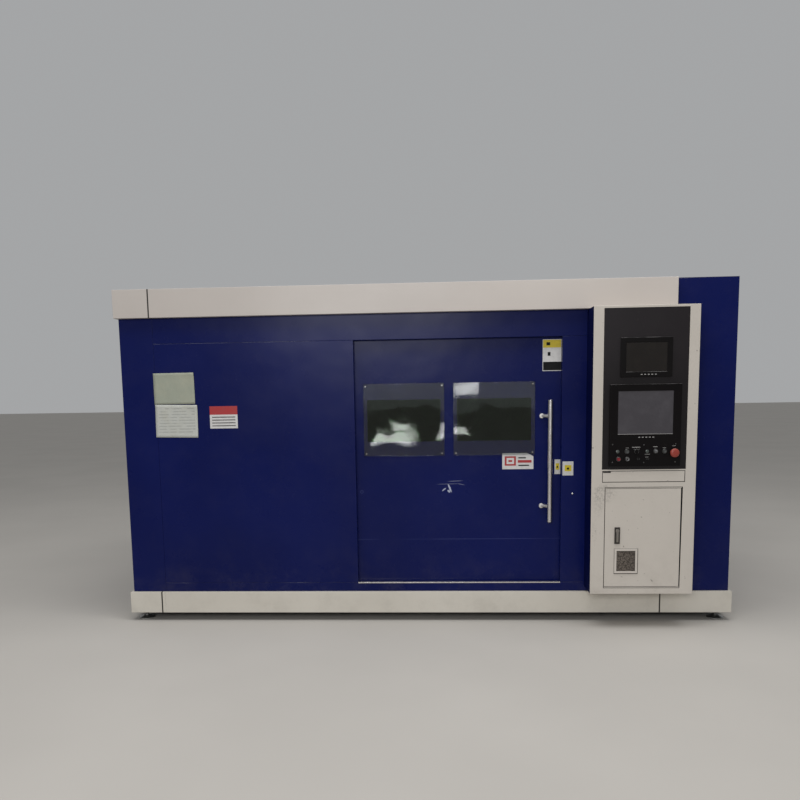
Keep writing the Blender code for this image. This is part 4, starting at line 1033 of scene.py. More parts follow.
# Nozzle: a turned copper cone under the head, screwed in by its collar. A fine bore lets the beam
# and the cutting gas out.
def nozzle():
    low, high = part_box("nozzle")
    x, y, _ = middle_of("nozzle")
    copper = bare_metal("turned_copper", (0.72, 0.34, 0.18), 0.28, (30, 30, 600), amount=0.25)
    collar, bore, bore_depth = high.z - 0.006, 0.0012, 0.004
    profile = [(0, high.z), (0.0135, high.z), (0.014, high.z - 0.0006), (0.014, collar + 0.0006)]
    profile += [(0.0132, collar), (0.0125, collar - 0.0004), (0.0062, low.z + 0.003), (0.004, low.z)]
    profile += [(bore, low.z), (bore, low.z + bore_depth), (0, low.z + bore_depth)]
    stand_in("nozzle", copper, "nozzle_brass", (profile, (x, y, 0), skyward))


nozzle()


# Partition: a white sheet with folded edges, screwed in between the cutting chamber and the
# electrical compartment.
inner_paint = {"dust": 0.5, "Grime_Amount": 0.7, "Tone_Drift": 0.15}
chamber_white = painted("chamber_white", (0.50, 0.48, 0.44), 0.45, **inner_paint)
folded("partition", chamber_white)


# Laser source: a grey coated cabinet with bright lifting handles. Its front is screwed on at the
# corners, and its lower part is slotted for cooling air.
source_grey = painted("source_grey", (0.24, 0.245, 0.25), 0.4, dust=0.4, Peel=0.3)
brushing = {"grain": (500, 500, 9), "amount": 0.06, "depth": 0.1}
brushed_stainless = bare_metal("brushed_stainless", (0.76, 0.73, 0.71), 0.26, **brushing)
source = refined("laser_source", source_grey, 0.0015)
source_low, source_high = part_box("laser_source")
source_face = source_low.y + 0.041
recoated(source, brushed_stainless, lambda centre, normal: centre.y < source_face - face_slack)
source_corners = (source_low.x + 0.012, source_face, source_low.z + 0.24)
source_grid = {"across": (0, 0, source_high.z - source_low.z - 0.26), "rows": 2, "size": 0.004}
source_step = (source_high.x - source_low.x - 0.024, 0, 0)
screws("source_screws", "machine", socket_steel, source_corners, source_step, 2, **source_grid)


# Skin: the blue front panels, each a tray folded from 2 mm steel with its edges turned in, sprayed
# glossy dark blue outside and primed grey inside. They hang on the frame edge to edge, so fine seams
# part them, and the edges that look up are paler in broken lengths, a painted highlight.
skin_blue = (0.0028, 0.0066, 0.070)
skin = {"dust": 0.12, "level": 0.13, "Grime_Amount": 0.10, "Tone_Drift": 0.14, "Waviness": 0.16}
blue_enamel = painted("blue_enamel", skin_blue, 0.28, **skin)
primer_grey = painted("primer_grey", (0.30, 0.30, 0.29), 0.55, dust=0.5, Grime_Amount=0.6, Tone_Drift=0.15)


def edge_highlight_paint(name, base, pale, share, scale):
    """A paint paled in broken lengths along an edge, a painted highlight where the edge catches light."""

    def marks(shade):
        lengths = ramp(noise(object_place(shade.tree), scale, 3.0, 0.6), 0.46, 0.60)
        return blended(lengths * share, shade, (*pale, 1))

    return painted(name, base, 0.5, dust=0.0, marks=marks)


def looks_up(centre, normal):
    return normal.z > 0.3 and normal.y < -0.3


# Pale blue lengths on the skin's edges that look up are a painted highlight.
blue_edge_highlight = edge_highlight_paint("blue_edge_highlight", skin_blue, (0.30, 0.31, 0.36), 0.9, 2.6)
for panel in ("corner_panel", "header_panel", "front_panel", "post_panel", "sill_panel", "column_panel"):
    tray = folded(panel, blue_enamel, fold=0.0016)
    recoated(tray, primer_grey, lambda centre, normal: normal.y > 0.5)
    recoated(tray, blue_edge_highlight, looks_up)


# Side and rear walls: the same blue sheet in single trays, primed grey inside and held by countersunk
# screws along their upright edges.
wall_screw_pitch = 0.32
wall_screw_inset = 0.018
wall_screw_size = 0.006
wall_screw_foot = 0.12
for wall, inward in (("left_wall", (1, 0, 0)), ("right_wall", (-1, 0, 0)), ("rear_wall", (0, -1, 0))):
    tray = folded(wall, blue_enamel, fold=0.0016)
    recoated(tray, primer_grey, lambda centre, normal: normal.dot(Vector(inward)) > 0.5)
dark_screw = bare_metal("dark_screw", (0.10, 0.10, 0.11), 0.4, (90, 90, 90), amount=0.1)
for wall, turn in (("left_wall", to_left), ("right_wall", to_right)):
    low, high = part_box(wall)
    face = low.x if wall == "left_wall" else high.x
    count = int((high.z - low.z - 0.3) / wall_screw_pitch) + 1
    start = (face, low.y + wall_screw_inset, low.z + wall_screw_foot)
    wide = high.y - low.y - 2 * wall_screw_inset
    grid = {"across": (0, wide, 0), "rows": 2, "turn": turn, "size": wall_screw_size}
    screws(wall + "_screws", "machine", dark_screw, start, (0, 0, wall_screw_pitch), count, **grid)
low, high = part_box("rear_wall")
start = (low.x + wall_screw_inset, high.y, low.z + wall_screw_foot)
tall = high.z - low.z - 0.30
grid = {"across": (0, 0, tall), "rows": 2, "turn": to_rear, "size": wall_screw_size}
count = int((high.x - low.x - 0.3) / wall_screw_pitch) + 1
step = ((high.x - low.x - 2 * wall_screw_inset) / (count - 1), 0, 0)
screws("rear_wall_screws", "machine", dark_screw, start, step, count, **grid)


# Exhaust collar: a spun, zinc-plated spigot for the fume duct, with a rolled bead near its rim and a
# flange bolted to the rear wall.
collar_bolts = 8
collar_bolt_circle = 0.148
collar_bolt_radius = 0.0065
collar_bead = 0.003
collar_inner, collar_outer = 0.125, 0.128
air_gap = 0.0003


def bolt_ring_tree():
    """Hexagon bolt heads on washers, Count of them round a circle about the Centre, along Y."""
    sizes = {"Circle": "Float", "Count": "Int", "Radius": "Float"}
    tree, given = geometry_tree("bolt_ring", Centre="Vector", **sizes)
    radius = given["Radius"]
    height = radius * 0.7
    circle = form(tree, "Circle", Vertices=given["Count"], Radius=given["Circle"])
    head = form(tree, "Cylinder", Vertices=6, Radius=radius, Depth=height)
    head = moved(head, Translation=vector(tree, Z=height * 0.6))
    washer = form(tree, "Cylinder", Vertices=20, Radius=radius * 1.45, Depth=height * 0.3)
    ring = copied(circle, together(head, washer))
    return dressed(moved(ring, Rotation=to_rear, Translation=given["Centre"]), given)


def exhaust():
    low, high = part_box("exhaust_collar")
    x, _, z = middle_of("exhaust_collar")
    wall, flange = low.y - air_gap, (high.x - low.x) / 2
    reach = high.y - wall
    profile = [(collar_inner, reach), (collar_outer - 0.0005, reach), (collar_outer, reach - 0.0005)]
    profile += [(collar_outer, reach - 0.014), (collar_outer + collar_bead, reach - 0.017)]
    profile += [(collar_outer, reach - 0.020), (collar_outer, 0.007), (collar_outer + 0.003, 0.0045)]
    profile += [(flange - 0.0006, 0.0042), (flange, 0.0036), (flange, air_gap), (collar_inner, air_gap)]
    ring = (profile, (x, wall, z), rearward, 96, True)
    stand_in("exhaust_collar", zinc_plate, "zinc_steel", ring)
    sizes = {"Centre": (x, wall + 0.0048, z), "Circle": collar_bolt_circle, "Count": collar_bolts}
    sizes["Radius"] = collar_bolt_radius
    grown("exhaust_bolts", bolt_ring_tree(), "machine", "zinc_steel", zinc_plate, **sizes)


exhaust()


# Roof: one blue sheet on the walls, stiffened by ribs underneath, where it is primed grey. Dust lies
# all over it.
roof_blue = painted("roof_blue", skin_blue, 0.45, **{**skin, "dust": 0.42})
roof = refined("roof", roof_blue, 0.0006)
recoated(roof, primer_grey, lambda centre, normal: normal.z < -0.5)


# Fascia: the white band round the top, a powder-coated channel in two lengths that meet at the front
# left corner's seam.
fascia_paint = {"dust": 0.3, "Grime_Amount": 0.12, "Tone_Drift": 0.10, "Waviness": 0.06}


def fascia_shade_and_seam(shade):
    """The colour darkens towards the left, a painted shade, and a seam shows where the two lengths meet."""
    left_shade = 1.0 - ramp(parts_of(object_place(shade.tree))["X"], -0.2, 0.9)
    shade = blended(left_shade, shade, (0.85, 0.85, 0.85, 1), "MULTIPLY")
    return seam_marks(-1.8225)(shade)


fascia_white = painted("fascia_white", (0.543, 0.497, 0.460), 0.40, marks=fascia_shade_and_seam, **fascia_paint)
for fascia in ("fascia_front", "fascia_left"):
    folded(fascia, fascia_white, fold=0.0020)


# Door track: a rolled zinc-plated channel behind the header, with a matching guide on the floor of
# the opening. Two sets of flanged steel wheels run on its lower lips.
for track in ("door_track", "door_bottom_guide"):
    refined(track, zinc_plate, 0.0005)


def door_wheels(side):
    node = "door_wheels_" + side
    low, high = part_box(node)
    place = middle_of(node)
    radius, outer, axle = (high.x - low.x) / 2, (high.y - low.y) / 2, 0.004
    shapes = []
    for way in (-1, 1):
        inside, face, step = (outer - 0.010) * way, outer * way, 0.001 * way
        profile = [(axle, inside), (radius - 0.0008, inside), (radius, inside + step)]
        profile += [(radius, face - step), (radius - 0.0008, face), (0.013, face)]
        profile += [(0.012, face - 1.5 * step), (0.008, face - 1.5 * step), (0.007, face), (axle, face)]
        shapes.append((profile, place, rearward, 48, True))
    shapes.append(([(0, -outer), (axle, -outer), (axle, outer), (0, outer)], place, rearward, 24))
    stand_in(node, machined_steel, "zinc_steel", *shapes)


for side in ("left", "right"):
    door_wheels(side)


# Sliding door: a blue tray like the skin, hung from the track by two welded plates. Its paint is
# chipped near the middle, and a faint pale line runs level across it.
chip_strokes = (
    ((0.139, 0.905), (0.020, 0.0055), 38, 0.85),
    ((0.178, 0.915), (0.036, 0.0070), -68, 1.0),
    ((0.172, 0.893), (0.014, 0.0090), -40, 0.9),
    ((0.215, 0.9625), (0.060, 0.0022), 2, 0.45),
    ((0.170, 0.9430), (0.095, 0.0020), 1, 0.35),
    ((0.255, 0.9400), (0.030, 0.0022), -12, 0.40),
)
rub_place, rub_radius = (-0.4263, 0.8935), 0.0095
pale_line_height = 0.560


def spot(place, centre, size, fringe=0.5, scale=30.0, wander=0.6):
    """1 inside an ellipse on a face that looks along Y, and 0 outside it, with a broken edge."""
    parts = parts_of(place)
    x, z = ((parts[axis] - middle) / half for axis, middle, half in zip("XZ", centre, size))
    ragged = (noise(place, scale, 6.0, 0.65) - 0.5) * wander
    return 1.0 - ramp(x * x + z * z + ragged, 1.0 - fringe, 1.0)


def door_marks(shade):
    tree = shade.tree
    place = object_place(tree)
    chips = None
    for centre, size, degrees, strength in chip_strokes:
        there = {0: place, 1: (centre[0], 0, centre[1])}
        there = signal(tree, "ShaderNodeVectorMath", there, operation="SUBTRACT")
        turned = {"Vector": there, "Rotation": (0, math.radians(degrees), 0)}
        turned = signal(tree, "ShaderNodeMapping", turned, vector_type="POINT")
        stroke = spot(turned, (0, 0), size, 0.75, 90.0, 1.0) * strength
        chips = worked("MAXIMUM", chips, stroke) if chips else stroke
    line = near(parts_of(place)["Z"], pale_line_height, 0.0012, 0.0030)
    line = line * ramp(noise(place, 1.6, 2.0), 0.42, 0.60) * 0.35
    shade = blended(line, shade, (0.055, 0.070, 0.20, 1))
    away = {0: place, 1: (rub_place[0], door_face, rub_place[1])}
    away = signal(tree, "ShaderNodeVectorMath", away, "Value", operation="DISTANCE")
    ring = near(away, rub_radius, 0.0008, 0.0016) * 0.45
    shade = blended(ring, shade, (0.08, 0.10, 0.24, 1))
    return blended(chips * 0.9, shade, (0.46, 0.49, 0.60, 1))


door_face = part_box("door_leaf")[0].y
door_blue = painted("door_blue", skin_blue, 0.26, marks=door_marks, **skin)
folded("door_leaf", door_blue, fold=0.0020)


# Sill strip: a bright stainless angle that caps the lower edge of the doorway. It is glued on and
# stands a little proud of the sheet.
sill_strip_height = 0.0026
sill_low, sill_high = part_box("sill_panel")
doorway_left, doorway_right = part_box("front_panel")[1].x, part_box("post_panel")[0].x
strip_front, strip_top = sill_low.y - 0.0010, sill_high.z + sill_strip_height
strip_flat = (doorway_left, strip_front, sill_high.z), (doorway_right, sill_low.y + 0.016, strip_top)
strip_lip = [(doorway_left, strip_front, sill_high.z - 0.0050)]
strip_lip.append((doorway_right, sill_low.y - 0.0002, sill_high.z + 0.001))
built("sill_strip", brushed_stainless, "machine", "stainless_steel", strip_flat, strip_lip, radius=0.0004)


# Windows: clear panes laid on the door's face, with polished edges and a domed mirror screw at each
# corner. A dark green laser-safety film covers each where the door is cut out behind it.
pane_screw_inset = 0.016
pane_cap_radius = 0.0065
film_side_inset = 0.026
film_head_inset = 0.110
film_foot_inset = 0.098


def safety_glass(name, low, high):
    material, tree, shader = new_material(name)
    place = object_place(tree)
    smeared = ramp(noise(place, 6.0, 6.0, 0.7), 0.45, 0.80)
    parts = parts_of(place)
    wide = high.x - low.x - 2 * film_side_inset
    tall = high.z - low.z - film_head_inset - film_foot_inset
    beside = near(parts["X"], (low.x + high.x) / 2, wide / 2, 0.002)
    level = near(parts["Z"], low.z + film_foot_inset + tall / 2, tall / 2, 0.002)
    green = blended(smeared, (0.30, 0.50, 0.30, 1), (0.36, 0.56, 0.36, 1))
    tint = blended(beside * level, (0.86, 0.90, 0.90, 1), green)
    feed(shader, {"Base Color": tint, "Roughness": 0.02 + smeared * 0.10, "IOR": 1.62})
    feed(shader, {"Transmission Weight": 1.0, "Normal": bumped(noise(place, 4.5, 1.0), 0.35, 0.004)})
    return material


polished_cap = bare_metal("polished_cap", (0.62, 0.61, 0.60), 0.18, (60, 60, 60), amount=0.05)
for side in ("left", "right"):
    low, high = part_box("window_" + side)
    refined("window_" + side, safety_glass("safety_glass_" + side, low, high), 0.0012)
    start = (low.x + pane_screw_inset, low.y, low.z + pane_screw_inset)
    wide, tall = high.x - low.x - 2 * pane_screw_inset, high.z - low.z - 2 * pane_screw_inset
    grid, step = {"across": (0, 0, tall), "rows": 2, "size": pane_cap_radius, "socket": 0.15}, (wide, 0, 0)
    screws(f"window_{side}_caps", "door", polished_cap, start, step, 2, **grid)


# Pull handle: a brushed stainless tube with flat end caps, on two arms that slant back to rosettes on
# the door, so that the hand clears its edge.
rosette_radius = 0.0165
arm_radius = 0.0110
tube_radius = 0.0165
arm_spread = 0.305
arm_sink = 0.006
cap_groove, groove_depth = 0.012, 0.0007
satin = {"grain": (120, 120, 120), "amount": 0.08, "depth": 0.1}
satin_stainless = bare_metal("satin_stainless", (0.72, 0.70, 0.69), 0.42, **satin)


def door_handle():
    low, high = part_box("door_handle")
    x, y, middle = high.x - tube_radius, low.y + tube_radius, (low.z + high.z) / 2
    radius, sunk, long_side = tube_radius, tube_radius - groove_depth, high.z - low.z
    half = [(0, 0), (radius - 0.002, 0), (radius, 0.002), (radius, cap_groove)]
    half += [(sunk, cap_groove + 0.0004), (sunk, cap_groove + 0.0010), (radius, cap_groove + 0.0014)]
    tube = ([*half, *[(r, long_side - h) for r, h in reversed(half)]], (x, y, low.z), skyward)
    stand_in("door_handle", brushed_stainless, "stainless_steel", tube)
    rosette = [(0, 0), (rosette_radius, 0), (rosette_radius, 0.009), (rosette_radius - 0.0015, 0.0105)]
    rosette.append((0, 0.0115))
    root, shapes = low.x + rosette_radius, []
    for z in (middle - arm_spread, middle + arm_spread):
        foot, top = Vector((root + arm_sink, high.y - arm_sink, z)), Vector((x, y, z))
        length = (top - foot).length
        arm = [(0, 0), (arm_radius, 0), (arm_radius, length), (0, length)]
        shapes += [(arm, foot, top - foot, 32), (rosette, (root, high.y, z), frontward, 40)]
    built("handle_standoffs", satin_stainless, "door", "stainless_steel", *shapes)


door_handle()


# Door plates: blank film plates stuck on the door and the post beside it, each a few plain fields of
# colour with no lettering.
film_thickness = 0.0004


def film(name, colour, roughness=0.35, level=0.5):
    """Printed vinyl: even ink with slight mottle, greyed at random by dirt."""
    material, tree, shader = new_material(name)
    place = object_place(tree)
    mottle = ramp(noise(place, 45.0, 5.0, 0.6), 0.35, 0.75)
    worn = tuple(0.86 * part + 0.008 for part in colour)
    feed(shader, {"Base Color": blended(mottle, (*colour, 1), (*worn, 1)), "Specular IOR Level": level})
    bump = bumped(noise(place, 70.0, 3.0), 0.15, 0.0008)
    feed(shader, {"Roughness": roughness + mottle * 0.15, "Normal": bump})
    return material


def plate(name, body, slot, face, corners, fields, thickness=film_thickness, cut_corner=0.0):
    """A thin plate on a face that looks along -Y, with its fields laid on it one layer up each.
    Fields give a material, then left, bottom, right and top as shares of the plate. The upper right
    corner may be cut off."""
    left, bottom, right, top = corners
    bm = bmesh.new()
    wide, tall = right - left, top - bottom
    for level, (material, x0, z0, x1, z1) in enumerate(fields):
        front = face - thickness * (1 + 0.35 * level)
        low = (left + x0 * wide, front, bottom + z0 * tall)
        verts = add_box(bm, low, (left + x1 * wide, face, bottom + z1 * tall))
        for polygon in {polygon for vert in verts for polygon in vert.link_faces}:
            polygon.material_index = level
    if cut_corner:
        edge = Vector((right - cut_corner, 0, top))
        cut = {"plane_co": edge, "plane_no": (1, 0, 2), "clear_outer": True}
        bmesh.ops.bisect_plane(bm, geom=[*bm.verts, *bm.edges, *bm.faces], **cut)
        bmesh.ops.holes_fill(bm, edges=[e for e in bm.edges if e.is_boundary])
        bmesh.ops.recalc_face_normals(bm, faces=bm.faces)
    obj = bpy.data.objects.new(name, mesh_of(name, bm))
    for material, *_ in fields:
        obj.data.materials.append(material)
    scene.collection.objects.link(obj)
    return seat(obj, body)


white_film = film("white_film", (0.60, 0.59, 0.58))
black_film = film("black_film", (0.005, 0.005, 0.006), 0.5, 0.12)
yellow_film = film("yellow_film", (0.60, 0.46, 0.012))
red_film = film("red_film", (0.36, 0.020, 0.022))
skin_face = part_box("front_panel")[0].y
whole = (0, 0, 1, 1)
upper_fields = [
    (white_film, *whole),
    (black_film, 0.03, 0.02, 1.0, 0.29),
    (yellow_film, 0.02, 0.74, 0.98, 0.985),
    (black_film, 0.27, 0.48, 0.42, 0.60),
    (black_film, 0.20, 0.81, 0.40, 0.91),
]
plate("door_plate_upper", "door", "white_paint", door_face, (0.802, 1.697, 0.925, 1.905), upper_fields)
lower_fields = [
    (white_film, *whole),
    (red_film, 0.08, 0.22, 0.44, 0.80),
    (white_film, 0.14, 0.32, 0.38, 0.70),
    (red_film, 0.20, 0.45, 0.32, 0.57),
    (black_film, 0.52, 0.66, 0.76, 0.74),
    (red_film, 0.50, 0.40, 0.94, 0.56),
    (black_film, 0.52, 0.20, 0.86, 0.27),
]
lower_corners = (0.535, 1.040, 0.745, 1.150)
plate("door_plate_lower", "door", "white_paint", door_face, lower_corners, lower_fields, cut_corner=0.045)
small_fields = [(white_film, *whole), (yellow_film, 0.20, 0.30, 0.82, 0.74)]
small_fields.append((black_film, 0.40, 0.42, 0.62, 0.56))
plate("door_plate_edge", "door", "white_paint", door_face, (0.887, 1.004, 0.9245, 1.103), small_fields)
plate("post_plate", "machine", "white_paint", skin_face, (0.933, 0.999, 1.005, 1.093), small_fields)
cap_dome = [(0, 0), (0.0065, 0), (0.0058, 0.0022), (0.0032, 0.0032), (0, 0.0034)]
cap_shape = (cap_dome, (1.0017, skin_face, 0.8752), frontward, 24)
built("post_cap", polished_cap, "machine", "stainless_steel", cap_shape)


# Front papers: two sheets with no lettering and a red and white plate with plain bars, stuck on the
# front skin. The papers have yellowed, and their edges curl off the paint a little.
paper_thickness = 0.0003
paper_stand_off = 0.0006
paper_wave = 0.0012
curled_share = 0.72


def paper(name, colour, bars=None):
    """Yellowed paper. The bars are the left, right, lowest and highest place and the pitch of faint
    plain ones."""
    material, tree, shader = new_material(name)
    place = object_place(tree)
    fibres = ramp(noise(place, 260.0, 4.0, 0.7), 0.3, 0.8)
    stain = ramp(noise(place, 9.0, 4.0, 0.6), 0.42, 0.75)
    darker = tuple(0.86 * part for part in colour)
    shade = blended(fibres * 0.5, (*colour, 1), (*darker, 1))
    shade = blended(stain * 0.35, shade, (0.42, 0.40, 0.30, 1))
    if bars:
        left, right, lowest, highest, pitch = bars
        parts = parts_of(place)
        across = near(parts["X"], (left + right) / 2, (right - left) / 2, 0.002)
        beside = near(parts["Z"], (lowest + highest) / 2, (highest - lowest) / 2, 0.002)
        wave = worked("SINE", parts["Z"] * (math.tau / pitch))
        mask = ramp(wave, 0.2, 0.5) * (across * beside) * ramp(noise(place, 24.0, 2.0), 0.36, 0.52)
        shade = blended(mask * 0.30, shade, (0.10, 0.10, 0.10, 1))
    creases = bumped(noise(place, 16.0, 3.0, 0.6), 0.5, 0.004)
    feed(shader, {"Base Color": shade, "Roughness": 0.75, "Normal": creases})
    return material


def paper_sheet(name, finish, corners, lean, curl=0.004, steps=14):
    """A sheet stuck flat in its middle, with its edges and one corner lifted."""
    left, bottom, right, top = corners
    middle = Vector(((left + right) / 2, (bottom + top) / 2))
    bm = bmesh.new()
    bmesh.ops.create_grid(bm, x_segments=steps, y_segments=steps, size=0.5)
    for vert in bm.verts:
        u, v = vert.co.x, vert.co.y
        lift = curl * (abs(2 * u) ** 6 + abs(2 * v) ** 6) / 2 + paper_wave * math.sin(9 * u + 4 * v) ** 2
        lift += curl * max(0.0, u + v - curled_share) * 6
        flat = Vector((u * (right - left), v * (top - bottom)))
        flat.rotate(Matrix.Rotation(math.radians(lean), 2))
        vert.co = (middle.x + flat.x, skin_face - paper_stand_off - lift, middle.y + flat.y)
    bmesh.ops.recalc_face_normals(bm, faces=bm.faces)
    obj = made_object(name, mesh_of(name, bm), finish)
    obj.data.shade_smooth()
    thick = obj.modifiers.new("thickness", "SOLIDIFY")
    thick.thickness = paper_thickness
    return seat(plain(obj), "machine")


paper_sheet("upper_paper", paper("greyed_paper", (0.305, 0.325, 0.262)), (-1.830, 1.515, -1.549, 1.726), 0.3)
lower_bars = (-1.806, -1.556, 1.312, 1.488, 0.020)
lower_finish = paper("white_paper", (0.475, 0.485, 0.450), lower_bars)
paper_sheet("lower_paper", lower_finish, (-1.828, 1.288, -1.536, 1.510), -1.0)
front_fields = [(white_film, *whole), (red_film, 0.0, 0.62, 1.0, 1.0)]
front_fields += [(black_film, 0.08, z, 0.92, z + 0.035) for z in (0.10, 0.23, 0.36, 0.49)]
plate("front_plate", "machine", "white_paint", skin_face, (-1.452, 1.346, -1.261, 1.497), front_fields)


# Console: a box hung on the front skin, folded and welded, white in front and blue at its sides, where
# a blue darker than the skin's is painted shade. Its face is cut out for the panel, the drawer and the
# cabinet door, and hands have greyed it.
smudges = (
    ((1.175, 0.905), (0.085, 0.075), 0.42),
    ((1.130, 0.86), (0.050, 0.13), 0.25),
    ((1.11, 0.66), (0.02, 0.12), 0.18),
)


def console_marks(shade):
    place = object_place(shade.tree)
    for centre, size, strength in smudges:
        grime = ramp(noise(place, 70.0, 5.0, 0.7), 0.42, 0.62)
        share = grime * spot(place, centre, size, 0.9, 18.0, 0.8) * strength
        shade = blended(share, shade, (0.20, 0.19, 0.17, 1))
    chips = ramp(noise(place, 38.0, 2.0, 0.5), 0.735, 0.75)
    return blended(chips * 0.6, shade, (0.10, 0.09, 0.08, 1))


console_paint = {"dust": 0.45, "Grime_Amount": 0.30, "Tone_Drift": 0.10, "Waviness": 0.08}
console_white = painted("console_white", (0.545, 0.502, 0.450), 0.42, marks=console_marks, **console_paint)
housing = folded("console_housing", console_white, fold=0.0025)
housing_low, housing_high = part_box("console_housing")
# The sides take a darker blue than the skin: painted shade.
shaded_side_blue = painted("shaded_side_blue", (0.0016, 0.0040, 0.042), 0.6, **{**skin, "level": 0.03})
recoated(
    housing,
    shaded_side_blue,
    lambda centre, normal: abs(normal.x) > 0.8
    and min(centre.x - housing_low.x, housing_high.x - centre.x) < face_slack,
)


# Control panel: a steel plate behind the housing's face, sprayed satin black. It is screwed to the
# housing from behind and holds the two monitors.
def darker_towards_foot(shade):
    """The coat darkens towards the bottom of the panel."""
    variation = 1.0 - ramp(parts_of(object_place(shade.tree))["Z"], 1.45, 2.0)
    return blended(variation, shade, (0.55, 0.52, 0.52, 1), "MULTIPLY")


black_coat = {"dust": 0.2, "level": 0.30, "Grime_Amount": 0.10, "Peel": 0.3}
satin_black = painted("satin_black", (0.0125, 0.0095, 0.0115), 0.38, marks=darker_towards_foot, **black_coat)
deep_coat = {"dust": 0.3, "level": 0.12, "Grime_Amount": 0.05, "Peel": 0.3}
deep_black = painted("deep_black", (0.0036, 0.0026, 0.0030), 0.40, **deep_coat)
refined("control_panel", satin_black, 0.0008)


# Edge trim: black strips round the openings of the drawer and the cabinet door, standing a little proud
# of the housing: painted shadow where the gaps round them are dark.
shadow_strip_width = 0.0032
shadow_black = painted("shadow_strip_black", (0.006, 0.005, 0.005), 0.8, dust=0.1, level=0.15, Grime_Amount=0.1, Peel=0.6)


def shadow_gap_strip(name, node, gap=air_gap, swing=0.0, slack=0.0):
    """A black frame round an opening, a painted shadow gap. The right length leaves room for a door's swing,
    and its upper end is wider by the slack, where the shadow is thicker.
    """
    low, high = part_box(node)
    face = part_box("console_housing")[0].y
    bm = bmesh.new()
    x0, x1, z0, z1 = low.x - gap, high.x + gap + swing, low.z - gap, high.z + gap
    for a, b in (
        ((x0 - shadow_strip_width, z0 - shadow_strip_width), (x0, z1 + shadow_strip_width)),
        ((x1, z0 - shadow_strip_width), (x1 + shadow_strip_width, z1 + shadow_strip_width)),
        ((x0, z0 - shadow_strip_width), (x1, z0)),
        ((x0, z1), (x1, z1 + shadow_strip_width)),
    ):
        verts = add_box(bm, (a[0], face - 0.0002, a[1]), (b[0], face + 0.0030, b[1]))
        for vert in verts:
            if vert.co.x > x1 + 0.001 and vert.co.z > z1:
                vert.co.x += slack
    solid(name, bm, shadow_black, "machine", "black_plastic")


shadow_gap_strip("drawer_shadow_strip", "keyboard_drawer")
shadow_gap_strip("cabinet_shadow_strip", "cabinet_door", 0.0010, 0.0019, 0.0040)


# Upper monitor: a black moulded frame let into the panel, with a dark glass screen and a row of soft
# keys under it.
soft_key_count, soft_key_pitch, soft_key_row = 5, 0.022, 0.2
soft_key_share, soft_key_height = 0.054, 0.0048
# Pale grey print for the soft keys and legends, also used for the painted highlight along the main screen's
# foot.
pale_print_and_highlight = film("pale_print_and_highlight", (0.36, 0.35, 0.34), 0.4)
moulded = {"dust": 0.25, "level": 0.14, "Grime_Amount": 0.05, "Peel": 0.45}
moulded_black = painted("moulded_black", (0.0040, 0.0032, 0.0034), 0.38, **moulded)
# Pale lengths along the black edges that look up are a painted highlight.
black_edge_highlight = edge_highlight_paint("black_edge_highlight", (0.010, 0.008, 0.009), (0.20, 0.19, 0.19), 0.8, 6.0)


def screen_finish(name, colour, roughness):
    """An unlit screen: a dark layer under glass that fingers have smeared."""
    material, tree, shader = new_material(name)
    place = object_place(tree)
    smears = ramp(noise(place, 11.0, 6.0, 0.7), 0.40, 0.75)
    brighter = tuple(1.25 * part for part in colour)
    feed(shader, {"Base Color": blended(smears, (*colour, 1), (*brighter, 1))})
    feed(shader, {"Roughness": roughness + smears * 0.12, "Specular IOR Level": 0.35})
    feed(shader, {"Normal": bumped(noise(place, 5.0, 1.0), 0.05, 0.004)})
    return material


def soft_keys(name, x, z, face):
    fields = []
    for k in range(soft_key_count):
        middle = 0.5 + (k - (soft_key_count - 1) / 2) * soft_key_pitch / soft_key_row
        fields.append((pale_print_and_highlight, middle - soft_key_share / 2, 0, middle + soft_key_share / 2, 1))
    half, rise = soft_key_row / 2, soft_key_height / 2
    plate(name, "machine", "black_plastic", face, (x - half, z - rise, x + half, z + rise), fields)


monitor = refined("upper_monitor", moulded_black, 0.0016)
# The frame's upward edges take the painted highlight.
recoated(monitor, black_edge_highlight, looks_up)
upper_glass = screen_finish("upper_screen_glass", (0.0095, 0.0072, 0.0058), 0.16)
refined("upper_screen", upper_glass, 0.0008)
soft_keys("upper_soft_keys", 1.429, 1.6600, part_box("upper_monitor")[0].y)


# Operating panel: a black steel tray screwed over the plate, with a window for the main screen, and
# under it the switches in bright bezels, two indicator lamps and two data sockets.
legend_marks = (
    (1.360, 1.2005, 0.052, 0.0034),
    (1.4806, 1.2025, 0.026, 0.0034),
    (1.537, 1.1950, 0.020, 0.0024),
    (1.4318, 1.1550, 0.030, 0.0024),
    (1.428, 1.1370, 0.020, 0.0020),
    (1.3045, 1.1965, 0.020, 0.0020),
    (1.597, 1.2070, 0.022, 0.0024),
)
selector_ticks = ((-45, 0.0185), (0, 0.0200), (45, 0.0185))
desk_screw_places = (
    (1.212, 1.105),
    (1.410, 1.102),
    (1.607, 1.104),
    (1.608, 1.219),
    (1.409, 1.215),
    (1.212, 1.219),
)
lamp_places = (1.2437, 1.4293)
port_places = (1.3758, 1.4333)
port_walls = (
    (0, 0.0044, 0.0085, 0.0008),
    (0, -0.0044, 0.0085, 0.0008),
    (-0.0077, 0, 0.0008, 0.0040),
    (0.0077, 0, 0.0008, 0.0040),
)


def bezel(node, face, inner, outer, height=0.0066):
    profile = [(inner, 0), (inner, height - 0.0008), (inner + 0.0006, height)]
    profile += [(outer - 0.0012, height), (outer, height - 0.0012), (outer, 0)]
    x, _, z = middle_of(node)
    return profile, (x, face, z), frontward, 40, True


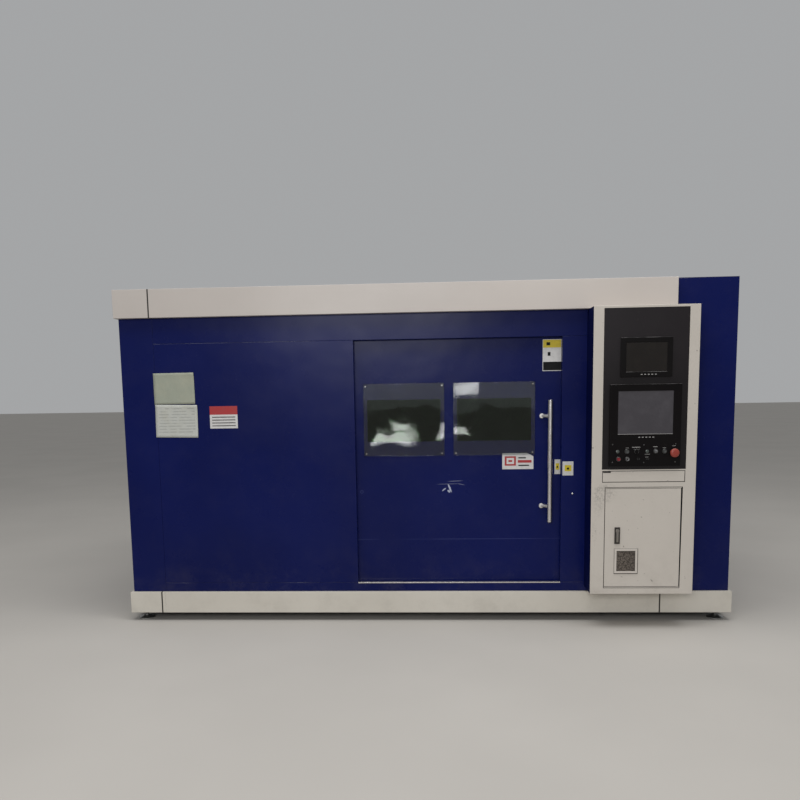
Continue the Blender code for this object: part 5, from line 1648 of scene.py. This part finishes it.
def operating_panel():
    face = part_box("operating_panel")[0].y + 0.006
    tray = folded("operating_panel", deep_black, fold=0.0022)
    # The tray's upward edges take the painted highlight.
    recoated(tray, black_edge_highlight, looks_up)
    satin_chrome = bare_metal("satin_chrome", (0.10, 0.10, 0.10), 0.36, (90, 90, 90), amount=0.1)
    bright = (satin_chrome, "machine", "stainless_steel")
    switches = ("upper_button", "reset_button", "red_button", "ring_button", "mode_selector", "key_switch")
    built("switch_bezels", *bright, *[bezel(node, face, 0.0111, 0.0152) for node in switches])
    stop_ring = bezel("emergency_stop", face, 0.0132, 0.0196)
    built("stop_bezel", satin_black, "machine", "black_plastic", stop_ring)
    head = [(0, 0), (0.0042, 0), (0.0038, 0.0016), (0.0020, 0.0024), (0, 0.0024)]
    built("desk_screws", *bright, *[(head, (x, face, z), frontward, 20) for x, z in desk_screw_places])
    marks = bmesh.new()
    ink = face - 0.0003, face + 0.0002
    for x, z, width, height in legend_marks:
        add_box(marks, *facing_box(x, z, width / 2, height / 2, *ink))
    knob_x, _, knob_z = middle_of("mode_selector")
    for degrees, reach in selector_ticks:
        verts = add_box(marks, (-0.0009, ink[0], reach), (0.0009, ink[1], reach + 0.0055))
        turn = Matrix.Translation((knob_x, 0, knob_z)) @ Matrix.Rotation(math.radians(degrees), 4, "Y")
        bmesh.ops.transform(marks, matrix=turn, verts=verts)
    solid("legend_marks", marks, pale_print_and_highlight, "machine", "grey_plastic")
    z = middle_of("upper_button")[2]
    dome = [(0, 0), (0.0112, 0), (0.0112, 0.005), (0.0100, 0.0068), (0.006, 0.0082), (0, 0.0088)]
    lens_grey = painted("lens_grey", (0.050, 0.060, 0.055), 0.2, dust=0.1, level=0.6, Peel=0.0)
    domes = [(dome, (x, face, z), frontward, 32) for x in lamp_places]
    built("indicator_lamps", lens_grey, "machine", "grey_plastic", *domes)
    z = middle_of("red_button")[2]
    depths = face - 0.0026, face + 0.001
    walls = [
        facing_box(x + aside, z + up, half_x, half_z, *depths)
        for x in port_places
        for aside, up, half_x, half_z in port_walls
    ]
    built("data_sockets", *bright, *walls, radius=0.0003)
    soft_keys("main_soft_keys", 1.422, 1.2640, face)


operating_panel()


# Main screen: a flat panel behind the tray's window, unlit, with a matt grey face. A pale strip along
# its foot is a painted highlight.
screen_lap = 0.010
main_glass = screen_finish("main_screen_glass", (0.054, 0.050, 0.057), 0.30)
refined("main_screen", main_glass, 0.0)
screen_low, screen_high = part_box("main_screen")
foot_z = screen_low.z + screen_lap
foot_left = (screen_low.x + screen_lap, screen_low.y - 0.0012, foot_z + 0.0002)
foot_right = (screen_high.x - screen_lap, screen_low.y + 0.0005, foot_z + 0.0026)
# The pale strip along the screen's foot is a painted highlight.
built("screen_foot_highlight", pale_print_and_highlight, "machine", "grey_plastic", (foot_left, foot_right), radius=0.0003)


# Push buttons: turned caps with dished faces on stems through the panel, two grey, one red, and one
# bright with a ring round a dark lens.
def push_button(node, finish, lens_finish=None):
    low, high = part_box(node)
    x, _, z = middle_of(node)
    radius, depth = (high.x - low.x) / 2, high.y - low.y
    profile = [(0, -0.0012), (radius * 0.55, -0.0008), (radius * 0.80, -0.0001), (radius - 0.0012, 0)]
    profile += [(radius - 0.0003, -0.0006), (radius, -0.0016), (radius, -depth), (0, -depth)]
    obj = stand_in(node, finish, "grey_plastic", (profile, (x, low.y, z), frontward, 40))
    if lens_finish:
        lens = radius * 0.62
        recoated(obj, lens_finish, lambda c, n: n.y < -0.5 and math.hypot(c.x - x, c.z - z) < lens)


button_grey = painted("button_grey", (0.045, 0.048, 0.048), 0.35, dust=0.1, level=0.5, Peel=0.2)
button_red = painted("button_red", (0.20, 0.010, 0.018), 0.28, dust=0.1, level=0.5, Peel=0.1)
push_button("upper_button", button_grey)
push_button("reset_button", button_grey)
push_button("red_button", button_red)
push_button("ring_button", socket_steel, satin_black)


# Selector and key switch: a moulded black knob whose pointer carries a white line, and a bright lock
# barrel with its key left in.
barrel = [(0, 0.007), (0.0105, 0.007), (0.0105, -0.0112), (0.0098, -0.012), (0, -0.012)]
stem_length = 0.007
pointer_half = 0.0045
pointer_taper = (0.72, 0.90)


def mode_selector():
    low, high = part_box("mode_selector")
    x, _, z = middle_of("mode_selector")
    face = high.y - stem_length
    bm = bmesh.new()
    add_turned(bm, barrel, (x, face, z), rearward, 40)
    verts = add_box(bm, (x - pointer_half, low.y, low.z), (x + pointer_half, face - 0.0105, high.z))
    for vert in verts:
        if vert.co.y < low.y + 0.001:
            vert.co.x = x + (vert.co.x - x) * pointer_taper[0]
            vert.co.z = z + (vert.co.z - z) * pointer_taper[1]
    node = "mode_selector"
    solid(node + "_finished", bm, moulded_black, node, "black_plastic", [node], 0.0009)
    line = (x - 0.0011, low.y, z + 0.002), (x + 0.0011, low.y + 0.0012, high.z - 0.0018)
    built("selector_line", white_film, node, "white_paint", line)


def key_switch():
    low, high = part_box("key_switch")
    x, _, z = middle_of("key_switch")
    face = high.y - stem_length
    blade = facing_box(x, z, 0.0011, 0.0035, face - 0.0170, face - 0.011)
    bow = [(0.0035, -0.0013), (0.0090, -0.0013), (0.0095, -0.0008)]
    bow += [(0.0095, 0.0008), (0.0090, 0.0013), (0.0035, 0.0013)]
    shapes = (barrel, (x, face, z), rearward, 40), blade, (bow, (x, low.y + 0.0096, z), (1, 0, 0), 32, True)
    stand_in("key_switch", socket_steel, "stainless_steel", *shapes)


mode_selector()
key_switch()


# Emergency stop: a moulded red mushroom, domed in front, on a short stem that passes through the
# panel.
def emergency_stop():
    low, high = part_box("emergency_stop")
    x, _, z = middle_of("emergency_stop")
    radius, face = (high.x - low.x) / 2, high.y - stem_length
    tip, rim, under, stem = face - low.y, 0.0235, 0.015, 0.0125
    crown = radius * 0.36
    profile = [(0, tip)]
    for k in range(11):
        angle = k * math.pi / 20
        reach = crown + (radius - 0.0006 - crown) * math.sin(angle)
        profile.append((reach, rim + (tip - rim) * math.cos(angle)))
    profile += [(radius, rim - 0.001), (radius, under + 0.0015), (radius - 0.0015, under)]
    profile += [(stem + 0.001, under + 0.001), (stem, under), (stem, -stem_length), (0, -stem_length)]
    stop_red = painted("stop_red", (0.27, 0.034, 0.022), 0.32, dust=0.3, level=0.5, Peel=0.15)
    stand_in("emergency_stop", stop_red, "red_plastic", (profile, (x, face, z), frontward, 64))


emergency_stop()


# Keyboard drawer: a shallow white tray on a shelf, its front flush with the housing. A worn strip of
# black foam is stuck at its upper left corner, and the place of its plate is bare.
folded("keyboard_drawer", console_white, fold=0.0015)
drawer_low, drawer_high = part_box("keyboard_drawer")
foam_strip = (drawer_low.x + 0.001, drawer_high.z - 0.0085, drawer_low.x + 0.050, drawer_high.z - 0.0005)
plate("drawer_foam", "drawer", "black_plastic", drawer_low.y, foam_strip, [(black_film, *whole)], 0.0015)


# Keyboard: a black moulded base that lies in the drawer, with six rows of tapered caps in three
# blocks.
key_size = 0.0165
key_rise = 0.0065
key_rows = 6
keyboard_columns = 22.6
keyboard_side, keyboard_front = 0.005, 0.007


def key_field_tree():
    """Tapered square caps, Columns by Rows of them from the Start."""
    sizes = {"Column_Pitch": "Float", "Columns": "Int", "Row_Pitch": "Float", "Rows": "Int"}
    tree, given = geometry_tree("key_field", Start="Vector", Key="Float", Rise="Float", **sizes)
    step, back = vector(tree, X=given["Column Pitch"]), vector(tree, Y=given["Row Pitch"])
    line = points_along(given["Columns"], given["Start"], step)
    rows = points_along(given["Rows"], (0, 0, 0), back)
    foot = given["Key"] * math.sqrt(0.5)
    cone = {"Radius_Top": foot * 0.78, "Radius_Bottom": foot, "Depth": given["Rise"]}
    cap = moved(form(tree, "Cone", Vertices=4, **cone), Rotation=(0, 0, math.pi / 4))
    return dressed(copied(realized(copied(rows, line)), cap), given)


def keyboard():
    low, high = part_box("keyboard")
    base = (low, (high.x, high.y, high.z - 0.005))
    edges = {"nodes": ["keyboard"], "radius": 0.003, "segments": 3}
    built("keyboard_base", moulded_black, "drawer", "black_plastic", base, **edges)
    pitch = (high.x - low.x - 2 * keyboard_side) / keyboard_columns
    row_pitch = (high.y - low.y - 2 * keyboard_front) / key_rows
    left = low.x + keyboard_side + pitch / 2
    field = key_field_tree()
    key_black = painted("key_black", (0.020, 0.020, 0.022), 0.45, dust=0.5, Peel=0.4)
    sizes = {"Column_Pitch": pitch, "Row_Pitch": row_pitch, "Rows": key_rows}
    sizes.update({"Key": key_size, "Rise": key_rise})
    for name, first, columns in (("main", 0, 15), ("middle", 15.3, 3), ("number", 18.6, 4)):
        front = low.y + keyboard_front + row_pitch / 2
        sizes["Start"] = (left + first * pitch, front, high.z - key_rise / 2)
        sizes["Columns"] = columns
        grown(f"{name}_keys", field, "drawer", "black_plastic", key_black, **sizes)


keyboard()


# Cabinet door: a white steel tray that hangs on pivot pins, flush with the housing, so that dark
# gaps outline it.
folded("cabinet_door", console_white, fold=0.0018)


# Vent: a white frame on the cabinet door with tilted louvres, and in front of them a woven wire
# screen that dust has clogged.
vent_rim = 0.014
wire_pitch = 0.0066
wire_radius = 0.0008
louvre_count = 9
louvre_tilt = 34
louvre_chord, louvre_thickness = 0.0145, 0.0015


def wire_screen_tree():
    """Upright and level wires over a rectangle that starts at the lower left corner."""
    sizes = {"Width": "Float", "Height": "Float", "Pitch": "Float", "Radius": "Float"}
    tree, given = geometry_tree("wire_screen", Start="Vector", **sizes)
    radius, pitch = given["Radius"], given["Pitch"]
    wires = []
    for side, other, axis, step, behind in (
        ("Height", "Width", "Z", "X", 0.0),
        ("Width", "Height", "X", "Z", radius),
    ):
        wire = form(tree, "Cylinder", Vertices=6, Radius=radius, Depth=given[side])
        reach = vector(tree, **{axis: given[side] * 0.5, "Y": behind})
        turn = (0, math.pi / 2 if axis == "X" else 0, 0)
        count = worked("FLOOR", given[other] / pitch)
        row = points_along(count, given["Start"], vector(tree, **{step: pitch}))
        wires.append(copied(row, moved(wire, Rotation=turn, Translation=reach)))
    return dressed(together(*wires), given)


def louvre_tree():
    """Tilted blades along X, Count of them from the Start at the Pitch along Z."""
    sizes = {"Pitch": "Float", "Count": "Int", "Size": "Vector", "Tilt": "Float"}
    tree, given = geometry_tree("louvres", Start="Vector", **sizes)
    blade = moved(form(tree, "Cube", Size=given["Size"]), Rotation=vector(tree, X=given["Tilt"]))
    return dressed(lined(given, "Z", blade), given)


def clots(shade):
    patches = ramp(noise(object_place(shade.tree), 85.0, 3.0, 0.6), 0.42, 0.62)
    return blended(patches * 0.75, shade, (0.035, 0.027, 0.020, 1))


def vent():
    low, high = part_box("vent_grille")
    face, back = low.y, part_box("cabinet_door")[0].y - air_gap
    x0, x1, z0, z1 = low.x + vent_rim, high.x - vent_rim, low.z + vent_rim, high.z - vent_rim
    bars = [((a, face, low.z), (b, back, high.z)) for a, b in ((low.x, x0), (x1, high.x))]
    for a, b in ((low.z, z0), (z1, high.z)):
        bars.append(((x0 - 0.001, face, a), (x1 + 0.001, back, b)))
    frame_white = painted("vent_white", (0.56, 0.515, 0.465), 0.4, dust=0.2, Grime_Amount=0.6)
    edges = {"nodes": ["vent_grille"], "radius": 0.0012}
    built("vent_frame", frame_white, "cabinet_door", "white_paint", *bars, **edges)
    # A black sheet behind the frame, reaching past it below and to the right: a painted shadow.
    foot_shadow = [(low.x - 0.0015, back - 0.0012, low.z - 0.0045)]
    foot_shadow.append((high.x + 0.0035, back + 0.0002, high.z + 0.0010))
    built("vent_foot_shadow", shadow_black, "cabinet_door", "black_plastic", foot_shadow)
    sooty = {"marks": clots, "Peel": 0.5}
    clogged = painted("clogged_steel", (0.30, 0.25, 0.21), 0.6, dust=0.3, Tone_Drift=0.3, **sooty)
    shaded = painted("shaded_steel", (0.16, 0.13, 0.105), 0.6, dust=0.15, **sooty)
    pitch = (z1 - z0) / louvre_count
    start = ((x0 + x1) / 2, back + 0.006, z0 + pitch / 2)
    size = (x1 - x0 + 0.001, louvre_chord, louvre_thickness)
    blades = {"Start": start, "Pitch": pitch, "Count": louvre_count, "Size": size}
    blades["Tilt"] = math.radians(louvre_tilt)
    grown("vent_louvres", louvre_tree(), "cabinet_door", "white_paint", shaded, **blades)
    wires = {"Start": (x0, face + 0.002, z0), "Width": x1 - x0, "Height": z1 - z0}
    wires.update({"Pitch": wire_pitch, "Radius": wire_radius})
    grown("vent_screen", wire_screen_tree(), "cabinet_door", "zinc_steel", clogged, **wires)


vent()


# Latch: a black moulded escutcheon screwed to the cabinet door, with a die-cast swing lever folded
# flat on it.
def latch():
    latch_grey = painted("latch_grey", (0.030, 0.026, 0.023), 0.4, dust=0.3, Peel=0.4)
    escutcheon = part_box("latch_body")
    stand_in("latch_body", latch_grey, "black_plastic", escutcheon, radius=0.0025, segments=3)
    node = "latch_lever"
    low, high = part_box(node)
    x, z = (low.x + high.x) / 2, high.z - 0.012
    tip, root = low.y, escutcheon[0].y - air_gap
    bm = bmesh.new()
    boss = [(0, tip), (0.0105, tip), (0.012, tip + 0.0012), (0.012, root), (0.006, root)]
    add_turned(bm, [*boss, (0.006, high.y), (0, high.y)], (x, 0, z), rearward, 40)
    verts = add_box(bm, (x - 0.008, tip + 0.0012, low.z), (x + 0.008, root, z))
    for vert in verts:
        if vert.co.z < low.z + 0.001:
            vert.co.x = x + (vert.co.x - x) * 0.8
    die_cast = casting("die_cast_zinc", (0.30, 0.28, 0.255), 0.36, 0.15, grain=400.0)
    solid(node + "_finished", bm, die_cast, node, "stainless_steel", [node], 0.0012)


latch()
